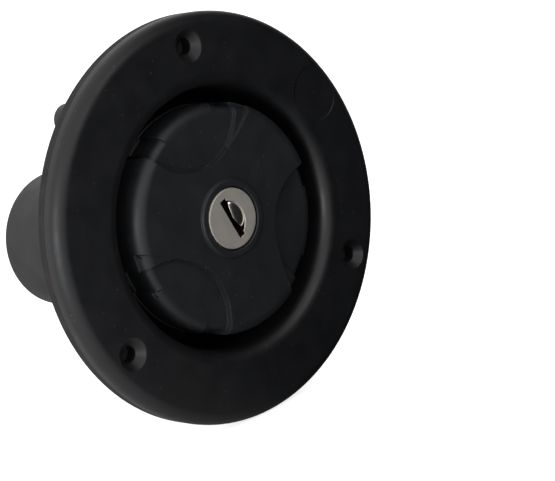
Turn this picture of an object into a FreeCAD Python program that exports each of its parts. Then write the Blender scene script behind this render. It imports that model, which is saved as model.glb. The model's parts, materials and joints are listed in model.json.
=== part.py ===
import FreeCAD, Part
import math
import os
import re
import Sketcher

# Lockable water filler hatch for a caravan wall.
# Every sub-part is drawn in one hatch frame: its z axis points out of the wall,
# z = 0 is the front plane of the flange, x is to the right and y is up.
# The finished part stands with +Z up, faces -Y, and has its origin on the axis,
# in the plane where the gasket meets the wall.

SIZES = {
    # flange and wall gasket
    "flange_margin": 9.0,
    "flange_thickness": 5.8,
    "flange_round": 3.8,
    "flange_skin": 2.8,
    "flange_rim": 3.2,
    "rib_width": 1.8,
    "gasket_thickness": 3.0,
    "gasket_clearance": 0.7,
    "screw_margin": 9.5,
    "screw_count": 3,
    "rib_count": 12,
    "screw_hole": 2.4,
    "screw_recess": 4.6,
    "screw_recess_slope": 45.0,
    "screw_boss_wall": 3.0,
    "screw_angle": 90.0,
    # bowl behind the flange
    "finger_gap": 4.6,
    "bowl_wall": 3.0,
    "bowl_depth": 33.0,
    "bowl_floor": 3.0,
    "bowl_round": 1.5,
    "lip_round": 4.0,
    # filler mouth inside the bowl
    "mouth_bore": 26.5,
    "mouth_wall": 3.4,
    # hose neck and vent nipple
    "neck_bore": 19.0,
    "neck_wall": 3.0,
    "neck_margin": 0.5,
    "neck_end": 88.0,
    "neck_round": 1.0,
    "vent_bore": 3.25,
    "vent_wall": 2.0,
    "vent_offset": 2.1,
    "vent_end": 68.0,
    "vent_boss_height": 7.0,
    "vent_roof": 1.5,
    # quick thread between mouth and cap
    "thread_lead": 36.0,
    "thread_starts": 3,
    "ridge_height": 1.3,
    "ridge_thickness": 2.6,
    "ridge_taper": 0.5,
    "ridge_sweep": 75.0,
    "ridge_inset": 1.3,
    "ridge_angle": 20.0,
    "lug_sweep": 35.0,
    "thread_clearance": 0.3,
    "thread_root": 0.3,
    # cap knob
    "cap_proud": 1.0,
    "cap_round": 3.5,
    "cap_plate": 4.0,
    "cap_land": 5.0,
    "skirt_wall": 2.4,
    "skirt_margin": 1.2,
    "land_inset": 1.3,
    "scoop_count": 3,
    "scoop_radius": 19.0,
    "scoop_offset": 1.9,
    "scoop_depth": 2.0,
    "scoop_angle": 101.0,
    "ledge_depth": 0.8,
    "ledge_root_inset": 15.5,
    "ledge_root_side": 7.8,
    "ledge_rim_inset": 7.5,
    "ledge_rim_side": 23.0,
    "ledge_end_reach": 0.1,
    "ledge_end_side": 14.0,
    "notch_inset": 1.5,
    "notch_half_width": 3.0,
    "notch_angle": 25.0,
    "notch_floor": 1.0,
    "collar_radius": 11.4,
    "collar_height": 0.9,
    "collar_round": 0.6,
    "hub_wall": 2.45,
    # slip ring and seal over the mouth
    "seat_gap": 0.2,
    "slip_thickness": 0.8,
    "seal_thickness": 2.0,
    "seal_clearance": 0.3,
    # insert that closes the cap
    "insert_clearance": 0.5,
    "insert_wall": 2.2,
    "insert_floor": 2.7,
    "insert_margin": 2.45,
    "insert_round": 1.5,
    "insert_screw_offset": 0.35,
    "insert_screw_count": 3,
    "insert_screw_angle": 60.0,
    "insert_pad_radius": 3.6,
    "insert_pad_height": 0.8,
    "insert_boss_radius": 3.3,
    "insert_screw_shank": 1.3,
    "insert_screw_length": 7.6,
    "insert_screw_head": 2.9,
    "insert_screw_head_height": 1.7,
    "insert_screw_sink": 1.9,
    "insert_screw_clearance": 0.3,
    "pilot_clearance": 0.05,
    # lock barrel
    "face_radius": 8.9,
    "face_sheet": 0.5,
    "face_round": 0.45,
    "face_proud": 0.6,
    "face_skirt": 3.0,
    "face_clearance": 0.4,
    "barrel_radius": 9.95,
    "barrel_clearance": 0.1,
    "barrel_front": 2.6,
    "barrel_length": 9.0,
    "barrel_key_width": 2.0,
    "barrel_key_height": 0.85,
    "barrel_key_clearance": 0.1,
    "oring_groove_radius": 8.6,
    "oring_section": 0.7,
    "oring_depth": 5.0,
    "clip_thickness": 1.0,
    "clip_inner": 8.6,
    "clip_outer": 10.8,
    "clip_gap": 5.0,
    "clip_clearance": 0.1,
    "hub_tail": 0.75,
    # lock plug
    "key_angle": 20.0,
    "plug_head_radius": 8.35,
    "plug_head_clearance": 0.3,
    "plug_radius": 6.0,
    "plug_clearance": 0.06,
    "plug_tail": 6.0,
    "key_slot_width": 2.4,
    "key_slot_height": 8.4,
    "face_slot_length": 12.8,
    "face_slot_depth": 2.0,
    "eye_radius": 6.2,
    "eye_reach": 4.4,
    "flap_pocket_length": 10.8,
    "flap_pocket_reach": 6.2,
    "flap_pocket_inner_reach": 4.6,
    "flap_pocket_depth": 4.2,
    # wafers
    "wafer_count": 4,
    "wafer_first": 5.0,
    "wafer_pitch": 1.6,
    "wafer_thickness": 0.8,
    "wafer_slot": 1.0,
    "wafer_width": 5.2,
    "wafer_length": 10.6,
    "wafer_window_width": 3.0,
    "wafer_window_height": 6.4,
    "wafer_side_clearance": 0.1,
    "wafer_shoulder": 0.2,
    "wafer_step": 1.4,
    "wafer_spring_length": 3.0,
    "wafer_spring_radius": 0.38,
    "wafer_spring_wire": 0.12,
    "wafer_spring_turns": 5,
    "wafer_bridge": 0.5,
    "channel_width": 5.8,
    "channel_reach": 7.4,
    # dust shutter, its pin and its spring
    "flap_dome_radius": 7.0,
    "flap_dome_centre": 3.0,
    "flap_dome_top": 1.4,
    "flap_sheet": 0.4,
    "flap_inner": 0.4,
    "flap_outer": 4.0,
    "flap_half_length": 4.3,
    "pin_reach": 5.1,
    "pin_depth": 0.1,
    "pin_radius": 0.5,
    "pin_half_length": 5.9,
    "pin_clearance": 0.05,
    "knuckle_radius": 0.9,
    "knuckle_start": 1.6,
    "spring_coil": 0.78,
    "spring_wire": 0.14,
    "spring_turns": 4,
    "spring_pitch": 0.55,
    # cam and its screw
    "cam_gap": 0.2,
    "cam_boss_radius": 7.5,
    "cam_radius": 12.0,
    "cam_boss_height": 2.0,
    "cam_thickness": 2.2,
    "cam_square_clearance": 0.05,
    "cam_screw_head": 3.5,
    "cam_screw_head_height": 1.6,
    "cam_screw_shank": 1.2,
    "cam_screw_length": 5.0,
    # locking bolt and its keeper
    "bolt_width": 8.0,
    "bolt_thickness": 3.0,
    "bolt_travel": 2.6,
    "bolt_inner": 3.8,
    "bolt_recess": 0.2,
    "bolt_gap": 0.2,
    "lock_swing": 90.0,
    "bolt_pin_radius": 1.25,
    "bolt_pin_place": 6.6,
    "bolt_pin_height": 1.9,
    "bolt_slot_clearance": 0.15,
    "bolt_pocket_clearance": 0.3,
    "guide_clearance": 0.15,
    "guide_margin": 2.85,
    "guide_start": 9.0,
    "keeper_sheet": 1.0,
    "keeper_start": 14.0,
    "keeper_margin": 1.8,
    "keeper_screw_inset": 3.5,
    "keeper_screw_side": 1.45,
    "keeper_screw_shank": 0.9,
    "keeper_screw_head": 1.4,
    "keeper_screw_head_height": 0.9,
    "keeper_screw_length": 4.0,
}

# heights are z values: negative ones lie behind the front plane of the flange
FORMULAS = {
    "mouth_outer": "mouth_bore + mouth_wall",
    "ridge_tip": "mouth_outer + ridge_height",
    "skirt_inner": "ridge_tip + thread_clearance",
    "cap_edge": "skirt_inner + skirt_wall",
    "bowl_radius": "cap_edge + finger_gap",
    "flange_back": "0 - flange_thickness",
    "wall_plane": "flange_back - gasket_thickness",
    "bowl_outer": "bowl_radius + bowl_wall",
    "screw_circle": "bowl_outer + screw_margin",
    "flange_radius": "screw_circle + flange_margin",
    "gasket_bore": "bowl_outer + gasket_clearance",
    "floor_front": "0 - bowl_depth",
    "floor_back": "floor_front - bowl_floor",
    "core_top": "0 - flange_skin",
    "core_outer": "flange_radius - flange_rim",
    "screw_boss": "screw_recess + screw_boss_wall",
    "land": "0 - cap_land",
    "slip_top": "land - seat_gap",
    "seal_top": "slip_top - slip_thickness",
    "seal_bottom": "seal_top - seal_thickness",
    "mouth_rim": "seal_bottom - seat_gap",
    "neck_outer": "neck_bore + neck_wall",
    "neck_back": "0 - neck_end",
    "neck_centre": "neck_bore + neck_margin - mouth_bore",
    "vent_outer": "vent_bore + vent_wall",
    "vent_rise": "mouth_outer + vent_offset",
    "vent_back": "0 - vent_end",
    "vent_boss_top": "floor_front + vent_boss_height",
    "vent_passage_top": "vent_boss_top - vent_roof",
    "ridge_rise": "thread_lead * ridge_sweep / 360",
    "ridge_top": "mouth_rim - ridge_inset - ridge_rise",
    "ridge_bottom": "ridge_top - ridge_thickness",
    "lug_tip": "mouth_outer + thread_clearance",
    "lug_top": "ridge_bottom - thread_clearance",
    "lug_bottom": "lug_top - ridge_thickness",
    "lug_rise": "thread_lead * lug_sweep / 360",
    "skirt_end": "lug_bottom - skirt_margin",
    "cap_top": "cap_proud",
    "cavity_roof": "cap_top - cap_plate",
    "scoop_distance": "cap_edge + scoop_offset",
    "ledge_root": "cap_edge - ledge_root_inset",
    "ledge_rim": "cap_edge - ledge_rim_inset",
    "ledge_end": "cap_edge + ledge_end_reach",
    "notch_radius": "cap_edge - notch_inset",
    "collar_top": "cap_top + collar_height",
    "hub_bore": "face_radius + face_clearance",
    "barrel_seat": "barrel_radius + barrel_clearance",
    "hub_outer": "barrel_seat + hub_wall",
    "barrel_top": "0 - barrel_front",
    "barrel_back": "barrel_top - barrel_length",
    "clip_top": "barrel_back - clip_clearance / 2",
    "clip_bottom": "clip_top - clip_thickness",
    "clip_groove_bottom": "clip_bottom - clip_clearance / 2",
    "clip_groove": "clip_outer + clip_clearance",
    "hub_end": "clip_groove_bottom - hub_tail",
    "face_top": "cap_top + face_proud",
    "plug_top": "face_top - face_sheet",
    "face_bottom": "face_top - face_sheet - face_skirt",
    "plug_head_bottom": "barrel_top + plug_head_clearance",
    "plug_end": "barrel_back - cam_gap",
    "cam_boss_top": "plug_end - cam_square_clearance",
    "cam_top": "cam_boss_top - cam_boss_height",
    "cam_bottom": "cam_top - cam_thickness",
    "bolt_top": "cam_bottom - bolt_gap",
    "bolt_bottom": "bolt_top - bolt_thickness",
    "insert_radius": "mouth_bore - insert_clearance",
    "insert_inner": "insert_radius - insert_wall",
    "land_radius": "insert_inner - land_inset",
    "insert_screw_circle": "(insert_inner + hub_outer) / 2 + insert_screw_offset",
    "keeper_end": "insert_inner - keeper_margin",
    "keeper_screw_place": "keeper_end - keeper_screw_inset",
    "insert_front": "bolt_bottom - insert_margin",
    "insert_back": "insert_front - insert_floor",
    "insert_pad_top": "insert_front + insert_pad_height",
    "guide_floor": "bolt_bottom - guide_clearance",
    "guide_top": "bolt_top + guide_clearance",
    "seal_inner": "insert_radius + seal_clearance",
    "seal_outer": "skirt_inner - seal_clearance",
    "insert_head_seat": "insert_back + insert_screw_sink",
    "bolt_tip": "insert_radius - bolt_recess",
    "bolt_pocket_end": "bolt_tip + bolt_travel + bolt_pocket_clearance",
    "guide_slot": "bolt_width + guide_clearance * 2",
    "guide_width": "guide_slot + guide_margin * 2",
    "keeper_screw_offset": "guide_slot / 2 + keeper_screw_side",
    "pin_height": "0 - pin_depth",
}

doc = FreeCAD.newDocument("WaterFillerHatch")
sheet = doc.addObject("Spreadsheet::Sheet", "Sizes")
rows = [(name, str(value)) for name, value in SIZES.items()]
rows += [(name, "=" + formula) for name, formula in FORMULAS.items()]
for row, (name, content) in enumerate(rows, 1):
    sheet.set("A%d" % row, name)
    sheet.set("B%d" % row, content)
    sheet.setAlias("B%d" % row, name)
doc.recompute()

ALIASES = set(SIZES) | set(FORMULAS)
WORD = re.compile(r"[a-z][a-z_]*[a-z]")


def linked(text):
    """An expression over the sheet, from a text such as 'bowl_radius + bowl_wall'."""
    return WORD.sub(lambda found: ("Sizes." if found.group() in ALIASES else "") + found.group(), text)


def amount(text):
    """The value of a sum of sizes, in millimetres, degrees or pieces."""
    total = 0.0
    for sign, term in re.findall(r"([+-]?)\s*([\w.]+(?:\s*[*/]\s*[\w.]+)*)", text):
        value = 1.0
        for mark, word in re.findall(r"([*/]?)\s*([\w.]+)", term):
            number = float(sheet.get(word)) if word in ALIASES else float(word)
            value = value / number if mark == "/" else value * number
        total += -value if sign == "-" else value
    return total


def bind(thing, **values):
    """Tie properties of an object to the sheet."""
    for name, text in values.items():
        thing.setExpression(name.replace("__", "."), linked(text))


def stand(thing, label, turn="0"):
    """Put a finished sub-part in the hatch frame, turned about the hatch's axis."""
    out_of_wall = FreeCAD.Rotation(FreeCAD.Vector(1, 0, 0), 90)
    about_axis = FreeCAD.Rotation(FreeCAD.Vector(0, 0, 1), amount(turn))
    thing.Label = label
    thing.Placement = FreeCAD.Placement(FreeCAD.Vector(0, amount("wall_plane"), 0), out_of_wall * about_axis)
    bind(thing, Placement__Base__y="wall_plane")
    return thing


# sketches and features of a body

def new_body(name):
    return doc.addObject("PartDesign::Body", name)


def sketch_on(body, name, role, height="0", turn="0"):
    """A sketch on one of the body's own origin planes, moved along and turned about its normal."""
    sketch = body.newObject("Sketcher::SketchObject", name)
    plane = [item for item in body.Origin.OriginFeatures if item.Role == role][0]
    sketch.AttachmentSupport = [(plane, "")]
    sketch.MapMode = "FlatFace"
    axis = FreeCAD.Vector(0, 0, 1) if role == "XY_Plane" else FreeCAD.Vector(0, 1, 0)
    sketch.AttachmentOffset = FreeCAD.Placement(
        FreeCAD.Vector(0, 0, amount(height)), FreeCAD.Rotation(axis, amount(turn)))
    bind(sketch, AttachmentOffset__Base__z=height, AttachmentOffset__Rotation__Angle=turn)
    return sketch


def fix(sketch, kind, places, text):
    """A dimension of a sketch, tied to the sheet."""
    index = sketch.addConstraint(Sketcher.Constraint(kind, *places, amount(text)))
    sketch.setExpression("Constraints[%d]" % index, linked(text))


def draw_outline(sketch, corners):
    """A closed outline of straight sides through corners given as pairs of texts."""
    points = [FreeCAD.Vector(amount(across), amount(along), 0) for across, along in corners]
    first = sketch.GeometryCount
    count = len(points)
    for index in range(count):
        side = Part.LineSegment(points[index], points[(index + 1) % count])
        sketch.addGeometry(side, False)
    for index in range(count):
        following = first + (index + 1) % count
        sketch.addConstraint(Sketcher.Constraint("Coincident", first + index, 2, following, 1))
    for index, (across, along) in enumerate(corners):
        fix(sketch, "DistanceX", (-1, 1, first + index, 1), across)
        fix(sketch, "DistanceY", (-1, 1, first + index, 1), along)


def draw_block(sketch, left, right, low, high):
    draw_outline(sketch, [(left, low), (right, low), (right, high), (left, high)])


def draw_circle(sketch, radius, across="0", along="0"):
    centre = FreeCAD.Vector(amount(across), amount(along), 0)
    index = sketch.addGeometry(Part.Circle(centre, FreeCAD.Vector(0, 0, 1), amount(radius)), False)
    fix(sketch, "DistanceX", (-1, 1, index, 3), across)
    fix(sketch, "DistanceY", (-1, 1, index, 3), along)
    fix(sketch, "Radius", (index,), radius)


def turned(body, corners, name="Turned"):
    """Revolve an outline of (radius, height) corners about the hatch's axis."""
    sketch = sketch_on(body, name + "Outline", "XZ_Plane")
    draw_outline(sketch, corners)
    feature = body.newObject("PartDesign::Revolution", name)
    feature.Profile = sketch
    feature.ReferenceAxis = (sketch, ["V_Axis"])
    feature.Angle = 360
    doc.recompute()
    return feature


def add_up(body, sketch, length, name):
    feature = body.newObject("PartDesign::Pad", name)
    feature.Profile = sketch
    bind(feature, Length=length)
    doc.recompute()
    return feature


def cut_down(body, sketch, length, name, slope="0"):
    """Cut from the sketch towards the back, and make sure that something went."""
    before = body.Shape.Volume
    feature = body.newObject("PartDesign::Pocket", name)
    feature.Profile = sketch
    bind(feature, Length=length, TaperAngle=slope)
    doc.recompute()
    if feature.Shape.Volume >= before:
        raise RuntimeError(name + " cuts nothing")
    return feature


def around(body, feature, sketch, count, name):
    """Repeat a feature evenly about the hatch's axis."""
    pattern = body.newObject("PartDesign::PolarPattern", name)
    pattern.Originals = [feature]
    pattern.Axis = (sketch, ["N_Axis"])
    pattern.Angle = 360
    bind(pattern, Occurrences=count)
    body.Tip = pattern
    doc.recompute()
    return pattern


def rounded(body, radius, rings, name):
    """Round the circular edges that have the given (radius, height)."""
    base = body.Tip
    edges = []
    for number, edge in enumerate(base.Shape.Edges, 1):
        if not isinstance(edge.Curve, Part.Circle):
            continue
        for ring, height in rings:
            near = abs(edge.Curve.Radius - amount(ring)) < 0.01
            if near and abs(edge.Curve.Center.z - amount(height)) < 0.01:
                edges.append("Edge%d" % number)
    if not edges:
        raise RuntimeError(name + " finds no edge")
    feature = body.newObject("PartDesign::Fillet", name)
    feature.Base = (base, edges)
    bind(feature, Radius=radius)
    doc.recompute()
    return feature


def helical(body, corners, sweep, rise, name):
    """Sweep an outline along the quick thread and repeat it for each start."""
    sketch = sketch_on(body, name + "Outline", "XZ_Plane", turn="ridge_angle")
    draw_outline(sketch, corners)
    feature = body.newObject("PartDesign::AdditiveHelix", name)
    feature.Profile = sketch
    feature.ReferenceAxis = (sketch, ["V_Axis"])
    feature.Mode = "height-turns-angle"
    bind(feature, Height=rise, Turns=sweep + " / 360")
    doc.recompute()
    flat = sketch_on(body, name + "Starts", "XY_Plane")
    draw_circle(flat, "mouth_outer")
    around(body, feature, flat, "thread_starts", name + "Pattern")


# simple solids

def cylinder(name, radius, low, high, across="0", along="0"):
    solid = doc.addObject("Part::Cylinder", name)
    bind(solid, Radius=radius, Height="%s - (%s)" % (high, low))
    bind(solid, Placement__Base__x=across, Placement__Base__y=along, Placement__Base__z=low)
    return solid


def block(name, left, right, near, far, low, high):
    solid = doc.addObject("Part::Box", name)
    bind(solid, Length="%s - (%s)" % (right, left), Width="%s - (%s)" % (far, near))
    bind(solid, Height="%s - (%s)" % (high, low))
    bind(solid, Placement__Base__x=left, Placement__Base__y=near, Placement__Base__z=low)
    return solid


def joined(name, pieces):
    result = doc.addObject("Part::MultiFuse", name)
    result.Shapes = pieces
    return result


def grouped(name, pieces):
    result = doc.addObject("Part::Compound", name)
    result.Links = pieces
    return result


def minus(name, base, tool):
    result = doc.addObject("Part::Cut", name)
    result.Base = base
    result.Tool = tool
    return result


def coil(name, radius, wire, pitch, turns, low, across="0", along="0"):
    """A round-wire spring whose axis runs along z from its place."""
    path = doc.addObject("Part::Helix", name + "Path")
    bind(path, Radius=radius, Pitch=pitch, Height="(%s) * (%s)" % (pitch, turns))
    section = doc.addObject("Part::Circle", name + "Section")
    bind(section, Radius=wire, Placement__Base__x=radius)
    section.Placement.Rotation = FreeCAD.Rotation(FreeCAD.Vector(1, 0, 0), 90)
    spring = doc.addObject("Part::Sweep", name)
    spring.Sections = [section]
    spring.Spine = (path, [])
    spring.Solid = True
    spring.Frenet = True
    bind(spring, Placement__Base__x=across, Placement__Base__y=along, Placement__Base__z=low)
    return spring


# housing side

def make_wall_gasket():
    """Flat rubber ring between the flange and the wall."""
    body = new_body("WallGasket")
    turned(body, [("gasket_bore", "wall_plane"), ("flange_radius", "wall_plane"),
                  ("flange_radius", "flange_back"), ("gasket_bore", "flange_back")])
    holes = sketch_on(body, "ScrewHole", "XY_Plane", "flange_back", "screw_angle")
    draw_circle(holes, "screw_hole", "screw_circle")
    hole = cut_down(body, holes, "gasket_thickness", "ScrewHoleCut")
    around(body, hole, holes, "screw_count", "ScrewHoles")
    return stand(body, "wall_gasket")


def make_housing():
    """One moulding: flange, bowl, filler mouth, hose neck and vent nipple."""
    body = new_body("Housing")
    turned(body, [("bowl_radius", "0"), ("flange_radius", "0"),
                  ("flange_radius", "flange_back"), ("bowl_outer", "flange_back"),
                  ("bowl_outer", "floor_back"), ("0", "floor_back"),
                  ("0", "floor_front"), ("mouth_bore", "floor_front"),
                  ("mouth_bore", "mouth_rim"), ("mouth_outer", "mouth_rim"),
                  ("mouth_outer", "floor_front"), ("bowl_radius", "floor_front")])
    rounded(body, "flange_round", [("flange_radius", "0")], "FlangeRound")
    rounded(body, "lip_round", [("bowl_radius", "0")], "LipRound")
    rounded(body, "bowl_round", [("bowl_outer", "floor_back")], "BowlRound")

    core = sketch_on(body, "Core", "XY_Plane", "core_top")
    draw_circle(core, "core_outer")
    draw_circle(core, "bowl_outer")
    cut_down(body, core, "flange_thickness - flange_skin", "CoreCut")
    rib = sketch_on(body, "Rib", "XY_Plane", "flange_back", "screw_angle")
    draw_block(rib, "bowl_outer - gasket_clearance", "core_outer + gasket_clearance",
               "0 - rib_width / 2", "rib_width / 2")
    ribs = add_up(body, rib, "flange_thickness - flange_skin", "RibPad")
    around(body, ribs, rib, "rib_count", "Ribs")
    boss = sketch_on(body, "ScrewBoss", "XY_Plane", "flange_back", "screw_angle")
    draw_circle(boss, "screw_boss", "screw_circle")
    bosses = add_up(body, boss, "flange_thickness - flange_skin", "ScrewBossPad")
    around(body, bosses, boss, "screw_count", "ScrewBosses")
    recess = sketch_on(body, "ScrewRecess", "XY_Plane", "0", "screw_angle")
    draw_circle(recess, "screw_recess", "screw_circle")
    recesses = cut_down(body, recess, "screw_recess - screw_hole / 2", "ScrewRecessCut", "0 - screw_recess_slope")
    around(body, recesses, recess, "screw_count", "ScrewRecesses")
    hole = sketch_on(body, "ScrewHole", "XY_Plane", "0", "screw_angle")
    draw_circle(hole, "screw_hole", "screw_circle")
    holes = cut_down(body, hole, "flange_thickness", "ScrewHoleCut")
    around(body, holes, hole, "screw_count", "ScrewHoles")

    neck = sketch_on(body, "Neck", "XY_Plane", "neck_back")
    draw_circle(neck, "neck_outer", "0", "neck_centre")
    add_up(body, neck, "neck_end - bowl_depth - bowl_floor", "NeckPad")
    vent = sketch_on(body, "Vent", "XY_Plane", "vent_back")
    draw_circle(vent, "vent_outer", "0", "vent_rise")
    add_up(body, vent, "vent_boss_top + vent_end", "VentPad")
    bore = sketch_on(body, "NeckBore", "XY_Plane", "floor_front")
    draw_circle(bore, "neck_bore", "0", "neck_centre")
    cut_down(body, bore, "neck_end - bowl_depth", "NeckBoreCut")
    passage = sketch_on(body, "VentBore", "XY_Plane", "vent_passage_top")
    draw_circle(passage, "vent_bore", "0", "vent_rise")
    cut_down(body, passage, "vent_passage_top + vent_end", "VentBoreCut")
    window = sketch_on(body, "VentWindow", "XY_Plane", "vent_passage_top")
    draw_block(window, "0 - vent_bore", "vent_bore", "mouth_bore - mouth_wall / 2", "vent_rise")
    cut_down(body, window, "vent_boss_height - vent_roof", "VentWindowCut")

    helical(body, [("mouth_outer - thread_root", "ridge_bottom"),
                   ("ridge_tip", "ridge_bottom + ridge_taper"),
                   ("ridge_tip", "ridge_top - ridge_taper"),
                   ("mouth_outer - thread_root", "ridge_top")],
            "ridge_sweep", "ridge_rise", "Ridge")
    pocket = sketch_on(body, "BoltPocket", "XY_Plane", "bolt_top + bolt_pocket_clearance")
    draw_block(pocket, "mouth_bore - mouth_wall", "bolt_pocket_end",
               "0 - bolt_width / 2 - bolt_pocket_clearance", "bolt_width / 2 + bolt_pocket_clearance")
    cut_down(body, pocket, "bolt_thickness + bolt_pocket_clearance * 2", "BoltPocketCut")
    rounded(body, "neck_round", [("neck_outer", "neck_back")], "NeckRound")
    rounded(body, "neck_round / 2", [("vent_outer", "vent_back")], "VentRound")
    return stand(body, "housing")


# cap side

def make_ring(name, label, inner, outer, low, high):
    body = new_body(name)
    turned(body, [(inner, low), (outer, low), (outer, high), (inner, high)])
    return stand(body, label)


def make_cap_knob():
    """The turned-in cap with three finger scoops, a collar round the lock and thread lugs."""
    body = new_body("CapKnob")
    turned(body, [("hub_bore", "collar_top"), ("collar_radius", "collar_top"),
                  ("collar_radius", "cap_top"), ("cap_edge", "cap_top"),
                  ("cap_edge", "skirt_end"), ("skirt_inner", "skirt_end"),
                  ("skirt_inner", "land"), ("land_radius", "land"),
                  ("land_radius", "cavity_roof"), ("hub_outer", "cavity_roof"),
                  ("hub_outer", "hub_end"), ("barrel_seat", "hub_end"),
                  ("barrel_seat", "clip_groove_bottom"), ("clip_groove", "clip_groove_bottom"),
                  ("clip_groove", "barrel_back"), ("barrel_seat", "barrel_back"),
                  ("barrel_seat", "barrel_top"), ("hub_bore", "barrel_top")])
    rounded(body, "cap_round", [("cap_edge", "cap_top")], "CapRound")
    rounded(body, "collar_round", [("collar_radius", "collar_top")], "CollarRound")

    scoop = sketch_on(body, "Scoop", "XY_Plane", "cap_top", "scoop_angle")
    draw_circle(scoop, "scoop_radius", "scoop_distance")
    scoops = cut_down(body, scoop, "scoop_depth", "ScoopCut")
    around(body, scoops, scoop, "scoop_count", "Scoops")
    ledge = sketch_on(body, "Ledge", "XY_Plane", "cap_top", "scoop_angle")
    draw_outline(ledge, [("ledge_root", "0 - ledge_root_side"), ("ledge_rim", "0 - ledge_rim_side"),
                         ("ledge_end", "0 - ledge_end_side")])
    ledges = cut_down(body, ledge, "ledge_depth", "LedgeCut")
    around(body, ledges, ledge, "scoop_count", "Ledges")
    for side in ("+", "-"):
        name = "NotchLeft" if side == "+" else "NotchRight"
        notch = sketch_on(body, name, "XY_Plane", "cap_top", "scoop_angle %s notch_angle" % side)
        draw_block(notch, "notch_radius", "cap_edge + cap_round", "0 - notch_half_width", "notch_half_width")
        notches = cut_down(body, notch, "cap_top + cap_land - notch_floor", name + "Cut")
        around(body, notches, notch, "scoop_count", name + "es")

    boss = sketch_on(body, "ScrewBoss", "XY_Plane", "insert_pad_top", "insert_screw_angle")
    draw_circle(boss, "insert_boss_radius", "insert_screw_circle")
    bosses = add_up(body, boss, "cavity_roof - insert_pad_top", "ScrewBossPad")
    around(body, bosses, boss, "insert_screw_count", "ScrewBosses")
    pilot = sketch_on(body, "Pilot", "XY_Plane",
                      "insert_head_seat + insert_screw_length + pilot_clearance", "insert_screw_angle")
    draw_circle(pilot, "insert_screw_shank + pilot_clearance", "insert_screw_circle")
    pilots = cut_down(body, pilot, "insert_screw_length", "PilotCut")
    around(body, pilots, pilot, "insert_screw_count", "Pilots")
    slot = sketch_on(body, "BarrelKeyway", "XY_Plane", "barrel_top")
    draw_block(slot, "0 - barrel_seat - barrel_key_height", "0 - barrel_seat / 2",
               "0 - barrel_key_width / 2 - barrel_key_clearance",
               "barrel_key_width / 2 + barrel_key_clearance")
    cut_down(body, slot, "barrel_top - hub_end", "BarrelKeywayCut")
    helical(body, [("lug_tip", "lug_bottom + ridge_taper"),
                   ("skirt_inner + thread_root", "lug_bottom"),
                   ("skirt_inner + thread_root", "lug_top"),
                   ("lug_tip", "lug_top - ridge_taper")],
            "lug_sweep", "lug_rise", "Lug")
    return stand(body, "cap_knob")


def make_cap_insert():
    """The cup that closes the cap from behind and guides the bolt."""
    body = new_body("CapInsert")
    turned(body, [("insert_inner", "land"), ("insert_radius", "land"),
                  ("insert_radius", "insert_back"), ("0", "insert_back"),
                  ("0", "insert_front"), ("insert_inner", "insert_front")])
    rounded(body, "insert_round", [("insert_radius", "insert_back")], "InsertRound")
    guide = sketch_on(body, "Guide", "XY_Plane", "insert_front")
    draw_block(guide, "guide_start", "insert_inner + thread_root", "0 - guide_width / 2", "guide_width / 2")
    add_up(body, guide, "guide_top - insert_front", "GuidePad")
    channel = sketch_on(body, "Channel", "XY_Plane", "guide_top")
    draw_block(channel, "guide_start - thread_root", "insert_radius + thread_root",
               "0 - guide_slot / 2", "guide_slot / 2")
    cut_down(body, channel, "guide_top - guide_floor", "ChannelCut")
    pad = sketch_on(body, "ScrewPad", "XY_Plane", "insert_front", "insert_screw_angle")
    draw_circle(pad, "insert_pad_radius", "insert_screw_circle")
    pads = add_up(body, pad, "insert_pad_height", "ScrewPadPad")
    around(body, pads, pad, "insert_screw_count", "ScrewPads")
    hole = sketch_on(body, "ScrewHole", "XY_Plane", "insert_pad_top", "insert_screw_angle")
    draw_circle(hole, "insert_screw_shank + insert_screw_clearance", "insert_screw_circle")
    holes = cut_down(body, hole, "insert_pad_top - insert_back", "ScrewHoleCut")
    around(body, holes, hole, "insert_screw_count", "ScrewHoles")
    sink = sketch_on(body, "ScrewSink", "XY_Plane", "insert_head_seat", "insert_screw_angle")
    draw_circle(sink, "insert_screw_head + insert_screw_clearance", "insert_screw_circle")
    sinks = cut_down(body, sink, "insert_screw_sink", "ScrewSinkCut")
    around(body, sinks, sink, "insert_screw_count", "ScrewSinks")
    pilot = sketch_on(body, "KeeperPilots", "XY_Plane", "guide_top")
    for side in ("keeper_screw_offset", "0 - keeper_screw_offset"):
        draw_circle(pilot, "keeper_screw_shank + pilot_clearance", "keeper_screw_place", side)
    cut_down(body, pilot, "keeper_screw_length", "KeeperPilotCut")
    return stand(body, "cap_insert")


def make_screws(name, label, places, head, shank, turn="0"):
    """Screws along z, one at each place; head and shank are given as (radius, low, high)."""
    screws = []
    for number, (across, along) in enumerate(places, 1):
        pieces = [cylinder("%sHead%d" % (name, number), *head, across, along),
                  cylinder("%sShank%d" % (name, number), *shank, across, along)]
        screws.append(joined("%sScrew%d" % (name, number), pieces))
    return stand(grouped(name, screws), label, turn)


def make_insert_screws():
    """Three screws that hold the insert to the knob, driven from behind."""
    places = []
    count = int(amount("insert_screw_count"))
    for step in range(count):
        angle = "(insert_screw_angle + 360 * %d / %d)" % (step, count)
        places.append(("insert_screw_circle * cos%s" % angle, "insert_screw_circle * sin%s" % angle))
    head = ("insert_screw_head", "insert_head_seat - insert_screw_head_height", "insert_head_seat")
    shank = ("insert_screw_shank", "insert_head_seat - insert_screw_head_height / 2",
             "insert_head_seat + insert_screw_length")
    return make_screws("InsertScrews", "insert_screws", places, head, shank)


# locking bolt

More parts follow.
